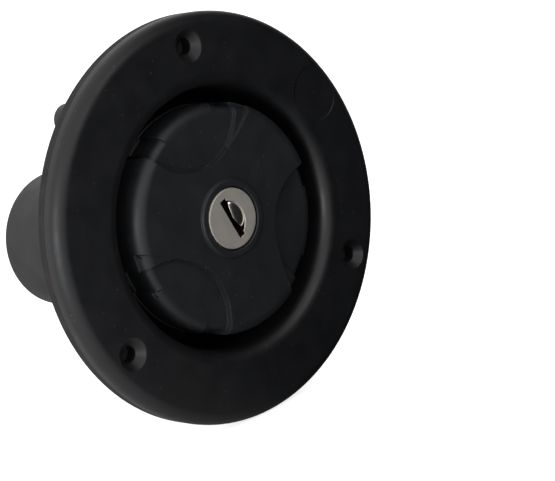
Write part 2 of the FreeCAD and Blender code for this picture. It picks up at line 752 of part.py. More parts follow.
def make_locking_bolt():
    """Flat bolt that slides out of the insert into a pocket in the mouth, with a pin for the cam."""
    body = new_body("LockingBolt")
    bar = sketch_on(body, "Bar", "XY_Plane", "bolt_bottom")
    draw_block(bar, "bolt_inner", "bolt_tip", "0 - bolt_width / 2", "bolt_width / 2")
    add_up(body, bar, "bolt_thickness", "BarPad")
    pin = sketch_on(body, "Pin", "XY_Plane", "bolt_bottom")
    draw_circle(pin, "bolt_pin_radius", "bolt_pin_place")
    add_up(body, pin, "bolt_thickness + bolt_pin_height", "PinPad")
    return stand(body, "locking_bolt")


def make_bolt_keeper():
    """Steel plate that holds the bolt down in its channel."""
    body = new_body("BoltKeeper")
    plate = sketch_on(body, "Plate", "XY_Plane", "guide_top")
    draw_block(plate, "keeper_start", "keeper_end", "0 - guide_width / 2", "guide_width / 2")
    for side in ("keeper_screw_offset", "0 - keeper_screw_offset"):
        draw_circle(plate, "keeper_screw_shank + pilot_clearance", "keeper_screw_place", side)
    add_up(body, plate, "keeper_sheet", "PlatePad")
    return stand(body, "bolt_keeper")


def make_keeper_screws():
    places = [("keeper_screw_place", "keeper_screw_offset"),
              ("keeper_screw_place", "0 - keeper_screw_offset")]
    head = ("keeper_screw_head", "guide_top + keeper_sheet",
            "guide_top + keeper_sheet + keeper_screw_head_height")
    shank = ("keeper_screw_shank", "guide_top + keeper_sheet - keeper_screw_length",
             "guide_top + keeper_sheet + keeper_screw_head_height / 2")
    return make_screws("KeeperScrews", "keeper_screws", places, head, shank)


# lock barrel

def make_lock_barrel():
    """Cast barrel with a seal groove, a locating key and two channels for the wafers."""
    body = new_body("LockBarrel")
    turned(body, [("plug_radius + plug_clearance", "barrel_top"), ("barrel_radius", "barrel_top"),
                  ("barrel_radius", "0 - oring_depth + oring_section"),
                  ("oring_groove_radius", "0 - oring_depth + oring_section"),
                  ("oring_groove_radius", "0 - oring_depth - oring_section"),
                  ("barrel_radius", "0 - oring_depth - oring_section"),
                  ("barrel_radius", "barrel_back"), ("plug_radius + plug_clearance", "barrel_back")])
    key = sketch_on(body, "Key", "XY_Plane", "barrel_back")
    draw_block(key, "0 - barrel_radius - barrel_key_height", "0 - oring_groove_radius",
               "0 - barrel_key_width / 2", "barrel_key_width / 2")
    add_up(body, key, "0 - oring_depth - oring_section - barrel_back", "KeyPad")
    channel = sketch_on(body, "Channel", "XY_Plane", "0 - wafer_first + wafer_slot", "key_angle")
    draw_block(channel, "0 - channel_width / 2", "channel_width / 2", "0 - channel_reach", "channel_reach")
    cut_down(body, channel, "wafer_pitch * wafer_count", "ChannelCut")
    return stand(body, "lock_barrel")


def make_barrel_oring():
    ring = doc.addObject("Part::Torus", "BarrelOring")
    bind(ring, Radius1="oring_groove_radius + oring_section", Radius2="oring_section")
    bind(ring, Placement__Base__z="0 - oring_depth")
    return stand(grouped("BarrelOringSeat", [ring]), "barrel_oring")


def make_barrel_circlip():
    """Open spring ring that holds the barrel in the knob."""
    body = new_body("BarrelCirclip")
    turned(body, [("clip_inner", "clip_bottom"), ("clip_outer", "clip_bottom"),
                  ("clip_outer", "clip_top"), ("clip_inner", "clip_top")])
    gap = sketch_on(body, "Gap", "XY_Plane", "clip_top")
    draw_block(gap, "clip_inner / 2", "clip_outer * 2", "0 - clip_gap / 2", "clip_gap / 2")
    cut_down(body, gap, "clip_thickness", "GapCut")
    return stand(body, "barrel_circlip")


# lock plug, drawn with its keyway along y and turned into place

def wafer_level(number):
    return "0 - wafer_first - wafer_pitch * %d" % number


def make_lock_plug():
    """Turning core of the lock: head, shaft, wafer slots and a square tail for the cam."""
    body = new_body("LockPlug")
    turned(body, [("0", "plug_top"), ("plug_head_radius", "plug_top"),
                  ("plug_head_radius", "plug_head_bottom"), ("plug_radius", "plug_head_bottom"),
                  ("plug_radius", "plug_end"), ("0", "plug_end")])
    tail = sketch_on(body, "Tail", "XY_Plane", "cam_bottom")
    draw_block(tail, "0 - plug_tail / 2", "plug_tail / 2", "0 - plug_tail / 2", "plug_tail / 2")
    add_up(body, tail, "plug_end - cam_bottom", "TailPad")
    tapped = sketch_on(body, "Tapped", "XY_Plane",
                       "cam_bottom + cam_screw_length + pilot_clearance")
    draw_circle(tapped, "cam_screw_shank + pilot_clearance")
    cut_down(body, tapped, "cam_screw_length + pilot_clearance", "TappedCut")
    keyway = sketch_on(body, "Keyway", "XY_Plane", "plug_top")
    draw_block(keyway, "0 - key_slot_width / 2", "key_slot_width / 2",
               "0 - key_slot_height / 2", "key_slot_height / 2")
    cut_down(body, keyway, "plug_top + wafer_first + wafer_pitch * wafer_count", "KeywayCut")
    mouth = sketch_on(body, "KeyMouth", "XY_Plane", "plug_top")
    draw_block(mouth, "0 - key_slot_width / 2", "key_slot_width / 2",
               "0 - face_slot_length / 2", "face_slot_length / 2")
    cut_down(body, mouth, "face_slot_depth", "KeyMouthCut")
    room = sketch_on(body, "FlapRoom", "XY_Plane", "plug_top")
    draw_block(room, "0 - key_slot_width / 2", "flap_pocket_reach",
               "0 - flap_pocket_length / 2", "flap_pocket_length / 2")
    cut_down(body, room, "plug_top - plug_head_bottom", "FlapRoomCut")
    deep = sketch_on(body, "FlapRoomDeep", "XY_Plane", "plug_head_bottom")
    draw_block(deep, "0 - key_slot_width / 2", "flap_pocket_inner_reach",
               "0 - flap_half_length - pin_clearance", "flap_half_length + pin_clearance")
    cut_down(body, deep, "plug_head_bottom + flap_pocket_depth", "FlapRoomDeepCut")
    bearing = sketch_on(body, "PinHole", "XZ_Plane", "pin_half_length")
    draw_circle(bearing, "pin_radius + pin_clearance", "pin_reach", "pin_height")
    cut_down(body, bearing, "pin_half_length * 2", "PinHoleCut")
    narrow = "0 - wafer_width / 2 - wafer_side_clearance"
    for number in range(int(amount("wafer_count"))):
        level = wafer_level(number) + " + wafer_slot / 2"
        slot = sketch_on(body, "WaferSlot%d" % number, "XY_Plane", level)
        draw_outline(slot, [(narrow, "0 - plug_radius * 2"),
                            ("wafer_step - wafer_side_clearance / 2", "0 - plug_radius * 2"),
                            ("wafer_step - wafer_side_clearance / 2",
                             "wafer_shoulder - wafer_spring_length - wafer_side_clearance"),
                            ("wafer_width / 2 + wafer_side_clearance",
                             "wafer_shoulder - wafer_spring_length - wafer_side_clearance"),
                            ("wafer_width / 2 + wafer_side_clearance", "plug_radius * 2"),
                            (narrow, "plug_radius * 2")])
        cut_down(body, slot, "wafer_slot", "WaferSlotCut%d" % number)
    return stand(body, "lock_plug", "key_angle")


def make_lock_face():
    """Pressed stainless cap crimped over the plug's head, with the key slot and the eye."""
    body = new_body("LockFace")
    turned(body, [("0", "face_top"), ("face_radius", "face_top"),
                  ("face_radius", "face_bottom"), ("face_radius - face_sheet", "face_bottom"),
                  ("face_radius - face_sheet", "plug_top"), ("0", "plug_top")])
    rounded(body, "face_round", [("face_radius", "face_top")], "FaceRound")
    slot = sketch_on(body, "KeySlot", "XY_Plane", "face_top")
    draw_block(slot, "0 - key_slot_width / 2", "key_slot_width / 2",
               "0 - face_slot_length / 2", "face_slot_length / 2")
    cut_down(body, slot, "face_sheet", "KeySlotCut")
    eye_round = cylinder("EyeRound", "eye_radius", "plug_top", "face_top + face_sheet",
                         "eye_reach - eye_radius")
    eye_side = block("EyeSide", "0", "eye_reach + face_sheet", "0 - eye_radius", "eye_radius",
                     "plug_top - face_sheet", "face_top + face_sheet * 2")
    eye = doc.addObject("Part::Common", "Eye")
    eye.Base = eye_round
    eye.Tool = eye_side
    return stand(minus("LockFaceCut", body, eye), "lock_face", "key_angle")


def make_dust_shutter():
    """Domed flap under the eye, with two knuckles round its pin."""
    middle = ("flap_dome_centre", "0")
    outer = doc.addObject("Part::Sphere", "DomeOuter")
    inner = doc.addObject("Part::Sphere", "DomeInner")
    bind(outer, Radius="flap_dome_radius")
    bind(inner, Radius="flap_dome_radius - flap_sheet")
    for ball in (outer, inner):
        bind(ball, Placement__Base__x=middle[0], Placement__Base__y=middle[1],
             Placement__Base__z="flap_dome_top - flap_dome_radius")
    shell = minus("DomeShell", outer, inner)
    window = block("DomeWindow", "flap_inner", "flap_outer", "0 - flap_half_length",
                   "flap_half_length", "0 - flap_sheet * 2", "flap_dome_top + flap_sheet")
    dome = doc.addObject("Part::Common", "Dome")
    dome.Base = shell
    dome.Tool = window
    pieces = [dome]
    for side, near, far in (("Upper", "knuckle_start", "flap_half_length - pin_clearance"),
                            ("Lower", "pin_clearance - flap_half_length", "0 - knuckle_start")):
        length = "%s - (%s)" % (far, near)
        knuckle = doc.addObject("Part::Cylinder", "Knuckle" + side)
        knuckle.Placement.Rotation = FreeCAD.Rotation(FreeCAD.Vector(1, 0, 0), -90)
        bind(knuckle, Radius="knuckle_radius", Height=length)
        bind(knuckle, Placement__Base__x="pin_reach", Placement__Base__y=near,
             Placement__Base__z="pin_height")
        arm = block("Arm" + side, "flap_outer - flap_sheet", "pin_reach", near, far,
                    "pin_height - flap_sheet", "pin_height + flap_sheet")
        pieces += [knuckle, arm]
    eye = doc.addObject("Part::Cylinder", "KnuckleBore")
    eye.Placement.Rotation = FreeCAD.Rotation(FreeCAD.Vector(1, 0, 0), -90)
    bind(eye, Radius="pin_radius + pin_clearance", Height="pin_half_length * 2")
    bind(eye, Placement__Base__x="pin_reach", Placement__Base__y="0 - pin_half_length",
         Placement__Base__z="pin_height")
    flap = minus("Flap", joined("FlapSolid", pieces), eye)
    return stand(flap, "dust_shutter", "key_angle")


def make_shutter_pin():
    pin = doc.addObject("Part::Cylinder", "ShutterPinRod")
    pin.Placement.Rotation = FreeCAD.Rotation(FreeCAD.Vector(1, 0, 0), -90)
    bind(pin, Radius="pin_radius", Height="pin_half_length * 2 - pin_clearance * 2")
    bind(pin, Placement__Base__x="pin_reach", Placement__Base__z="pin_height",
         Placement__Base__y="pin_clearance - pin_half_length")
    return stand(grouped("ShutterPin", [pin]), "shutter_pin", "key_angle")


def make_shutter_spring():
    """Torsion coil round the shutter's pin, between the knuckles."""
    spring = coil("ShutterCoil", "spring_coil", "spring_wire", "spring_pitch", "spring_turns", "0")
    spring.Placement.Rotation = FreeCAD.Rotation(FreeCAD.Vector(1, 0, 0), -90)
    bind(spring, Placement__Base__x="pin_reach", Placement__Base__z="pin_height",
         Placement__Base__y="0 - spring_pitch * spring_turns / 2")
    return stand(grouped("ShutterSpring", [spring]), "shutter_spring", "key_angle")


def make_wafers():
    """Flat brass tumblers, one in each slot of the plug, drawn level with the shaft."""
    wafers = []
    for number in range(int(amount("wafer_count"))):
        low = wafer_level(number) + " - wafer_thickness / 2"
        high = wafer_level(number) + " + wafer_thickness / 2"
        name = "Wafer%d" % number
        left = block(name + "Left", "0 - wafer_width / 2", "wafer_step - wafer_side_clearance",
                     "0 - wafer_length / 2", "wafer_length / 2", low, high)
        right = block(name + "Right", "0", "wafer_width / 2", "wafer_shoulder",
                      "wafer_length / 2", low, high)
        window = block(name + "Window", "0 - wafer_window_width / 2",
                       "wafer_step - wafer_bridge",
                       "0 - wafer_window_height / 2", "wafer_window_height / 2", low, high)
        wafers.append(minus(name, joined(name + "Plate", [left, right]), window))
    return stand(grouped("Wafers", wafers), "wafers", "key_angle")


def make_wafer_springs():
    """One small coil under the shoulder of each wafer."""
    springs = []
    for number in range(int(amount("wafer_count"))):
        spring = coil("WaferSpring%d" % number, "wafer_spring_radius", "wafer_spring_wire",
                      "(wafer_spring_length - wafer_spring_wire * 3) / wafer_spring_turns",
                      "wafer_spring_turns", "0")
        spring.Placement.Rotation = FreeCAD.Rotation(FreeCAD.Vector(1, 0, 0), -90)
        bind(spring, Placement__Base__x="(wafer_step + wafer_width / 2) / 2",
             Placement__Base__z=wafer_level(number),
             Placement__Base__y="wafer_shoulder - wafer_spring_length + wafer_spring_wire * 1.5")
        springs.append(spring)
    return stand(grouped("WaferSprings", springs), "wafer_springs", "key_angle")


def make_lock_cam():
    """Disc on the plug's tail whose spiral slot drives the bolt's pin out by its travel."""
    turn = math.radians(amount("key_angle"))
    start = amount("bolt_pin_place")
    travel = amount("bolt_travel")
    half_width = amount("bolt_pin_radius + bolt_slot_clearance")
    end_room = math.degrees(half_width / start)
    swing = amount("lock_swing")
    steps = 9
    sides = {1: [], -1: []}
    for step in range(steps):
        angle = -end_room + (swing + 2 * end_room) * step / (steps - 1)
        centre = start + travel * angle / swing
        for side in sides:
            radius = centre + side * half_width
            around_axis = math.radians(angle) - turn
            point = FreeCAD.Vector(radius * math.cos(around_axis), radius * math.sin(around_axis), 0)
            sides[side].append(point)
    curves = []
    for side in sides:
        curve = Part.BSplineCurve()
        curve.interpolate(sides[side])
        curves.append(curve.toShape())
    ends = [Part.makeLine(sides[1][place], sides[-1][place]) for place in (0, -1)]
    outline = Part.Wire(Part.__sortEdges__(curves + ends))
    thickness = amount("cam_thickness")
    slot = Part.Face(outline).extrude(FreeCAD.Vector(0, 0, thickness))
    slot.translate(FreeCAD.Vector(0, 0, amount("cam_bottom")))
    disc = Part.makeCylinder(amount("cam_radius"), thickness, FreeCAD.Vector(0, 0, amount("cam_bottom")))
    boss = Part.makeCylinder(amount("cam_boss_radius"), amount("cam_boss_height"),
                             FreeCAD.Vector(0, 0, amount("cam_top")))
    side = amount("plug_tail + cam_square_clearance * 2")
    square = Part.makeBox(side, side, amount("cam_boss_top - cam_bottom"),
                          FreeCAD.Vector(-side / 2, -side / 2, amount("cam_bottom")))
    cam = doc.addObject("Part::Feature", "LockCam")
    cam.Shape = disc.cut(slot).fuse(boss).cut(square).removeSplitter()
    return stand(cam, "lock_cam", "key_angle")


def make_cam_screw():
    head = ("cam_screw_head", "cam_bottom - cam_screw_head_height", "cam_bottom")
    shank = ("cam_screw_shank", "cam_bottom - cam_screw_head_height / 2", "cam_bottom + cam_screw_length")
    return make_screws("CamScrew", "cam_screw", [("0", "0")], head, shank)


PARTS = [
    make_housing(),
    make_wall_gasket(),
    make_ring("CapSeal", "cap_seal", "seal_inner", "seal_outer", "seal_bottom", "seal_top"),
    make_ring("SlipRing", "slip_ring", "seal_inner", "seal_outer", "seal_top", "slip_top"),
    make_cap_knob(),
    make_cap_insert(),
    make_insert_screws(),
    make_bolt_keeper(),
    make_keeper_screws(),
    make_locking_bolt(),
    make_lock_barrel(),
    make_barrel_oring(),
    make_barrel_circlip(),
    make_lock_plug(),
    make_lock_face(),
    make_dust_shutter(),
    make_shutter_pin(),
    make_shutter_spring(),
    make_wafers(),
    make_wafer_springs(),
    make_lock_cam(),
    make_cam_screw(),
]

doc.recompute()
for item in doc.Objects:
    if "Invalid" in item.State or "Error" in item.State:
        raise RuntimeError("%s failed: %s" % (item.Label, item.State))
for part in PARTS:
    if part.Shape.isNull() or not part.Shape.isValid():
        raise RuntimeError(part.Label + " has no valid shape")

os.makedirs("parts", exist_ok=True)
for part in PARTS:
    part.Shape.exportStep("parts/%s.step" % part.Label)
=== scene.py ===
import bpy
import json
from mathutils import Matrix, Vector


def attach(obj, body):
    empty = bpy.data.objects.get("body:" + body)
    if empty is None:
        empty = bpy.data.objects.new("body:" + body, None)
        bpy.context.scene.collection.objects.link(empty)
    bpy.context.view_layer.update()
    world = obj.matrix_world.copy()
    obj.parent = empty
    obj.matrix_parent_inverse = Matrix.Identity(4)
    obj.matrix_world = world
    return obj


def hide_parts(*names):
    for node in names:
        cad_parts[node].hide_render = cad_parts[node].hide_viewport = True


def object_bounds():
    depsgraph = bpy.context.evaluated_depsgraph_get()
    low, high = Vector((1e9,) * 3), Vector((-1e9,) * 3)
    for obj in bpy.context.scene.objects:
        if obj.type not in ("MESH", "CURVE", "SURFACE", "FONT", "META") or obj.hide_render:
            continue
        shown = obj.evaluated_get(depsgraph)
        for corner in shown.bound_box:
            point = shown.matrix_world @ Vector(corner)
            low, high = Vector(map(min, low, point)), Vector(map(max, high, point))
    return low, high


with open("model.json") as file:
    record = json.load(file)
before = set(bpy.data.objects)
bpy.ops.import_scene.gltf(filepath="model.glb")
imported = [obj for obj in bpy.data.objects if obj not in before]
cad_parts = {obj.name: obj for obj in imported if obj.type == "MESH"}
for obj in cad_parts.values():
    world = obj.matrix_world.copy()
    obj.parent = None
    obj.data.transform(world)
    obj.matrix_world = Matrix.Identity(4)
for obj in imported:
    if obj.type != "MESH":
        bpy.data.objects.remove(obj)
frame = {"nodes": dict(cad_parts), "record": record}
cad_box = [list(corner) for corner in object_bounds()]

import json
import math
from types import SimpleNamespace

import bmesh
import bpy
from bpy.props import FloatProperty, FloatVectorProperty, IntProperty, PointerProperty
from mathutils import Matrix, Vector

bl_info = {
    "name": "Caravan water filler hatch",
    "version": (1, 0, 0),
    "blender": (4, 5, 0),
    "location": "View3D > Sidebar > Hatch",
    "description": "Models and dresses a lockable water filler hatch round its CAD frame",
    "category": "Add Mesh",
}

# The visible mouldings are modelled in the hatch's own frame, in millimetres: z points out of
# the wall, z = 0 is the front plane of the flange, x is to the right and y is up.
MM = 0.001
FULL_TURN = 2 * math.pi
WALL_PLANE = -8.8
HATCH_TO_ROW = (Matrix.Translation((0, WALL_PLANE * MM, 0))
                @ Matrix.Rotation(math.radians(90), 4, "X") @ Matrix.Scale(MM, 4))
SCREWS_AROUND = 3
SCREWS_START = math.radians(90)
SCOOPS_AROUND = 3
THREAD_STARTS = 3
THREAD_START = math.radians(20)
THREAD_PITCH = 36.0
THREAD_STEPS = 20
# doubles are merged under this distance, and a vertex within ON_PLANE of a plane lies on it
MERGE = 0.001
ON_PLANE = 0.02
# a flat face larger than this area gets a frame of this width before it is smoothed
LARGE_FACE = 40.0
FRAME_WIDTH = 0.12


def length(name, millimetres, text):
    return FloatProperty(name=name, description=text, default=millimetres * MM, min=0.0,
                         subtype="DISTANCE", unit="LENGTH", precision=5)


def angle(name, degrees, text):
    return FloatProperty(name=name, description=text, default=math.radians(degrees),
                         subtype="ANGLE", unit="ROTATION")


def linear(hex_code):
    """An sRGB colour such as '#1a1b1d' as the linear values that the shaders use."""
    parts = [int(hex_code[start:start + 2], 16) / 255 for start in (1, 3, 5)]
    return [part / 12.92 if part <= 0.04045 else ((part + 0.055) / 1.055) ** 2.4 for part in parts]


def colour(name, hex_code, text):
    return FloatVectorProperty(name=name, description=text, default=linear(hex_code), min=0.0,
                               max=1.0, size=3, subtype="COLOR")


class HatchHousingSizes(bpy.types.PropertyGroup):
    """Sizes of the flange, the bowl, the hose neck and the vent nipple."""
    flange_radius: length("Flange radius", 60.0, "Radius of the flange on the wall")
    flange_thickness: length("Flange thickness", 5.8, "From the flange's front to the gasket")
    flange_round: length("Flange rounding", 3.8, "Rounding of the flange's outer edge")
    lip_round: length("Lip rounding", 4.0, "Rounding from the flange into the bowl")
    bowl_radius: length("Bowl radius", 38.5, "Inner radius of the bowl")
    bowl_outer: length("Bowl outside radius", 41.5, "Outer radius of the bowl's wall")
    bowl_depth: length("Bowl depth", 33.0, "Depth of the bowl's floor")
    bowl_floor: length("Bowl floor", 3.0, "Thickness of the bowl's floor")
    screw_circle: length("Screw circle", 51.0, "Distance of each screw hole from the middle")
    screw_recess: length("Screw recess radius", 4.6, "Radius of the recess for a screw head")
    screw_hole: length("Screw hole", 2.4, "Radius of the screw hole")
    neck_outer: length("Hose neck", 22.0, "Outer radius of the hose neck")
    neck_bore: length("Hose neck bore", 19.0, "Inner radius of the hose neck")
    neck_drop: length("Hose neck drop", 7.0, "How far the neck lies below the middle")
    neck_end: length("Hose neck end", 88.0, "Depth of the neck's end behind the flange's front")
    vent_outer: length("Vent nipple", 5.25, "Outer radius of the vent nipple")
    vent_bore: length("Vent bore", 3.25, "Inner radius of the vent nipple")
    vent_rise: length("Vent rise", 32.0, "How far the vent nipple lies above the middle")
    vent_end: length("Vent end", 68.0, "Depth of the vent nipple's end")
    gate_radius: length("Gate mark", 8.2, "Radius of the shallow mark left by the mould's gate")
    sides: IntProperty(name="Sides", description="Sides of the turned shapes", default=144,
                       min=48, max=256)


class HatchCapSizes(bpy.types.PropertyGroup):
    """Sizes of the turning cap."""
    cap_radius: length("Cap radius", 33.9, "Radius of the cap's edge")
    cap_round: length("Cap rounding", 3.5, "Rounding of the cap's edge")
    scoop_radius: length("Scoop radius", 19.0, "Radius of a finger scoop's arc")
    scoop_distance: length("Scoop distance", 35.8, "Distance of a scoop's centre from the middle")
    scoop_depth: length("Scoop depth", 2.0, "Depth of a finger scoop")
    scoop_angle: angle("Scoop angle", 101.0, "Where the first scoop stands")
    ledge_depth: length("Ledge depth", 0.8, "Depth of the shallow step beside a scoop")
    notch_radius: length("Notch radius", 32.5, "Radius of the edge either side of a scoop's tongue")
    tongue_angle: angle("Tongue angle", 19.0, "Half the angle that a scoop's tongue spans")
    collar_radius: length("Collar radius", 11.4, "Outer radius of the collar round the lock")
    collar_height: length("Collar height", 0.9, "Height of the collar over the cap's face")
    soft_edge: length("Moulded edge", 0.28, "Rounding of the moulded edges of scoops and steps")


class HatchLockSizes(bpy.types.PropertyGroup):
    """Sizes of the lock's face and its dust shutter."""
    face_radius: length("Face radius", 8.9, "Radius of the pressed steel face")
    face_sheet: length("Face sheet", 0.5, "Thickness of the pressed sheet")
    face_round: length("Face rounding", 0.45, "Rounding of the pressed edge")
    slot_width: length("Key slot width", 2.4, "Width of the key slot")
    slot_length: length("Key slot length", 12.8, "Length of the key slot")
    eye_radius: length("Eye radius", 6.2, "Radius of the opening over the shutter")
    eye_reach: length("Eye reach", 4.4, "How far the opening reaches from the middle")
    dome_centre: length("Dome centre", 2.5, "How far the shutter's dome lies from the slot's middle")
    dome_half_width: length("Dome half width", 3.3, "Half the width of the shutter's dome")
    dome_half_length: length("Dome half length", 5.3, "Half the length of the shutter's dome")
    dome_height: length("Dome height", 2.0, "Height of the shutter's dome")
    dome_crown: length("Dome crown", 1.55, "Height of the dome's crown over the flange's front")
    key_angle: angle("Key angle", 20.0, "How far the lock is turned in the cap")


class HatchFinishes(bpy.types.PropertyGroup):
    """Colours of the visible materials."""
    housing: colour("Housing", "#101114", "Black of the moulded housing")
    cap: colour("Cap", "#191b1e", "Black of the moulded cap")
    gasket: colour("Gasket", "#2a2725", "Brownish black of the wall gasket")
    face: colour("Lock face", "#d8d2ca", "Warm grey of the stainless face")


class HatchStage(bpy.types.PropertyGroup):
    """Camera and light levels."""
    lens: FloatProperty(name="Lens", description="Focal length in millimetres",
                        default=107.85, min=10, max=300)
    left_light: FloatProperty(name="Left light", description="Power of the large soft light on the left",
                              default=4.5, min=0, max=200, subtype="POWER", unit="POWER")
    front_light: FloatProperty(name="Front light", description="Power of the weak front light",
                               default=0.8, min=0, max=200, subtype="POWER", unit="POWER")


def in_millimetres(group):
    """The group's lengths in millimetres, its other values as they are."""
    read = SimpleNamespace()
    for name, prop in group.bl_rna.properties.items():
        if prop.type in {"FLOAT", "INT"}:
            value = getattr(group, name)
            setattr(read, name, value / MM if getattr(prop, "unit", "") == "LENGTH" else value)
    return read


# selection and modifiers

def nothing_selected():
    if bpy.context.mode != "OBJECT":
        bpy.ops.object.mode_set(mode="OBJECT")
    bpy.ops.object.select_all(action="DESELECT")


def take(piece):
    """Select one piece alone and make it the active one."""
    nothing_selected()
    piece.select_set(True)
    bpy.context.view_layer.objects.active = piece
    return piece


def in_place(piece):
    take(piece)
    bpy.ops.object.transform_apply(location=True, rotation=True, scale=True)
    return piece


def finished_by(piece, kind, **settings):
    """Add a modifier and apply it."""
    take(piece)
    modifier = piece.modifiers.new(kind.title(), kind)
    for name, value in settings.items():
        setattr(modifier, name, value)
    bpy.ops.object.modifier_apply(modifier=modifier.name)
    return piece


def cut_away(piece, *cutters):
    for cutter in cutters:
        finished_by(piece, "BOOLEAN", operation="DIFFERENCE", solver="EXACT", object=cutter)
        bpy.data.objects.remove(cutter)
    return piece


def grown_by(piece, *others):
    for other in others:
        finished_by(piece, "BOOLEAN", operation="UNION", solver="EXACT", object=other)
        bpy.data.objects.remove(other)
    return piece


def met_by(piece, other):
    """Keep only what lies inside the other shape too."""
    finished_by(piece, "BOOLEAN", operation="INTERSECT", solver="EXACT", object=other)
    bpy.data.objects.remove(other)
    return piece


def as_one(piece, others):
    """Join closed shapes into one object."""
    take(piece)
    for other in others:
        other.select_set(True)
    bpy.ops.object.join()
    return piece


def around_axis(piece, count, first=0.0):
    """Turn a piece to its first place and repeat it evenly about the hatch's axis."""
    piece.rotation_euler.z = first
    in_place(piece)
    copies = []
    for step in range(1, count):
        take(piece)
        bpy.ops.object.duplicate(linked=False)
        copy = bpy.context.active_object
        copy.rotation_euler.z = FULL_TURN * step / count
        copies.append(in_place(copy))
    return as_one(piece, copies)


# shapes drawn from listed points: a vertex is extruded into an outline and the outline is spun

def bow(centre, radius, start, end, parts=6):
    """Points of an arc in an outline, from one angle to another in degrees."""
    points = []
    for step in range(parts + 1):
        turn = math.radians(start + (end - start) * step / parts)
        points.append((centre[0] + radius * math.cos(turn), centre[1] + radius * math.sin(turn)))
    return points


def chain(name, points):
    """An object in edit mode that holds the points joined in a row."""
    nothing_selected()
    bpy.ops.mesh.primitive_plane_add(size=1, location=points[0])
    piece = bpy.context.active_object
    piece.name = piece.data.name = name
    bpy.ops.object.mode_set(mode="EDIT")
    bpy.ops.mesh.merge(type="CENTER")
    for before, after in zip(points, points[1:]):
        step = [after[axis] - before[axis] for axis in range(3)]
        bpy.ops.mesh.extrude_region_move(TRANSFORM_OT_translate={"value": step})
    return piece


def turned(name, outline, sides, closed=True):
    """Spin an outline of (radius, height) points about the hatch's axis into a closed solid."""
    points = [(radius, 0.0, height) for radius, height in outline]
    if closed:
        points.append(points[0])
    piece = chain(name, points)
    bpy.ops.mesh.select_all(action="SELECT")
    bpy.ops.mesh.remove_doubles(threshold=MERGE)
    bpy.ops.mesh.select_all(action="SELECT")
    bpy.ops.mesh.spin(steps=sides, angle=FULL_TURN, center=(0, 0, 0), axis=(0, 0, 1))
    bpy.ops.mesh.select_all(action="SELECT")
    bpy.ops.mesh.remove_doubles(threshold=MERGE)
    bpy.ops.mesh.select_all(action="SELECT")
    bpy.ops.mesh.normals_make_consistent(inside=False)
    bpy.ops.object.mode_set(mode="OBJECT")
    return in_place(piece)


def post(name, radius, low, high, across=0.0, along=0.0, sides=64):
    """A round post along the hatch's axis."""
    return turned_at(turned(name, [(0, low), (radius, low), (radius, high), (0, high)], sides, False),
                     across, along)


def turned_at(piece, across, along):
    piece.location = (across, along, 0)
    return in_place(piece)


def prism(name, corners, low, high):
    """A flat outline filled and extruded upwards."""
    piece = chain(name, [(x, y, low) for x, y in corners] + [(corners[0][0], corners[0][1], low)])
    bpy.ops.mesh.select_all(action="SELECT")
    bpy.ops.mesh.remove_doubles(threshold=MERGE)
    bpy.ops.mesh.select_all(action="SELECT")
    bpy.ops.mesh.edge_face_add()
    bpy.ops.mesh.extrude_region_move(TRANSFORM_OT_translate={"value": (0, 0, high - low)})
    bpy.ops.mesh.select_all(action="SELECT")
    bpy.ops.mesh.normals_make_consistent(inside=False)
    bpy.ops.object.mode_set(mode="OBJECT")
    return in_place(piece)


def block(name, across, along, height):
    """A box from its two ends along each axis."""
    corners = [(across[0], along[0]), (across[1], along[0]), (across[1], along[1]), (across[0], along[1])]
    return prism(name, corners, *height)


def helical_ridge(name, outline, sweep):
    """An outline of (radius, height) points carried along each start of the quick thread."""
    points = [(radius, 0.0, height) for radius, height in outline]
    piece = chain(name, points + [points[0]])
    bpy.ops.mesh.select_all(action="SELECT")
    bpy.ops.mesh.remove_doubles(threshold=MERGE)
    bpy.ops.object.mode_set(mode="OBJECT")
    in_place(piece)
    finished_by(piece, "SCREW", axis="Z", angle=sweep, screw_offset=THREAD_PITCH * sweep / FULL_TURN,
                steps=THREAD_STEPS, render_steps=THREAD_STEPS, iterations=1, use_smooth_shade=False)
    bpy.ops.object.mode_set(mode="EDIT")
    bpy.ops.mesh.select_all(action="SELECT")
    bpy.ops.mesh.fill_holes(sides=0)
    bpy.ops.mesh.select_all(action="SELECT")
    bpy.ops.mesh.normals_make_consistent(inside=False)
    bpy.ops.object.mode_set(mode="OBJECT")
    return around_axis(piece, THREAD_STARTS, THREAD_START)


def soften(piece, width, segments, fits, sharpness=math.radians(35)):
    """Round the sharp edges whose two ends both fit a test on their place."""
    take(piece)
    bpy.ops.object.mode_set(mode="EDIT")
    bpy.ops.mesh.select_mode(type="EDGE")
    bpy.ops.mesh.select_all(action="DESELECT")
    bpy.ops.mesh.edges_select_sharp(sharpness=sharpness)
    mesh = bmesh.from_edit_mesh(piece.data)
    for edge in mesh.edges:
        if edge.select and not all(fits(*vertex.co) for vertex in edge.verts):
            edge.select_set(False)
    mesh.select_flush_mode()
    bmesh.update_edit_mesh(piece.data)
    bpy.ops.mesh.bevel(offset=width, segments=segments, affect="EDGES", clamp_overlap=False)
    bpy.ops.mesh.select_mode(type="VERT")
    bpy.ops.mesh.select_all(action="SELECT")
    bpy.ops.mesh.remove_doubles(threshold=MERGE / 2)
    bpy.ops.object.mode_set(mode="OBJECT")
    return piece


def framed(piece):
    """Give each large flat face that looks out of the wall a narrow frame, so that it shades flat."""
    take(piece)
    bpy.ops.object.mode_set(mode="EDIT")
    bpy.ops.mesh.select_mode(type="FACE")
    bpy.ops.mesh.select_all(action="DESELECT")
    mesh = bmesh.from_edit_mesh(piece.data)
    for face in mesh.faces:
        if face.normal.z > 0.9999 and face.calc_area() > LARGE_FACE:
            face.select_set(True)
    bmesh.update_edit_mesh(piece.data)
    bpy.ops.mesh.inset(thickness=FRAME_WIDTH, use_individual=True)
    bpy.ops.mesh.select_mode(type="VERT")
    bpy.ops.object.mode_set(mode="OBJECT")
    return piece


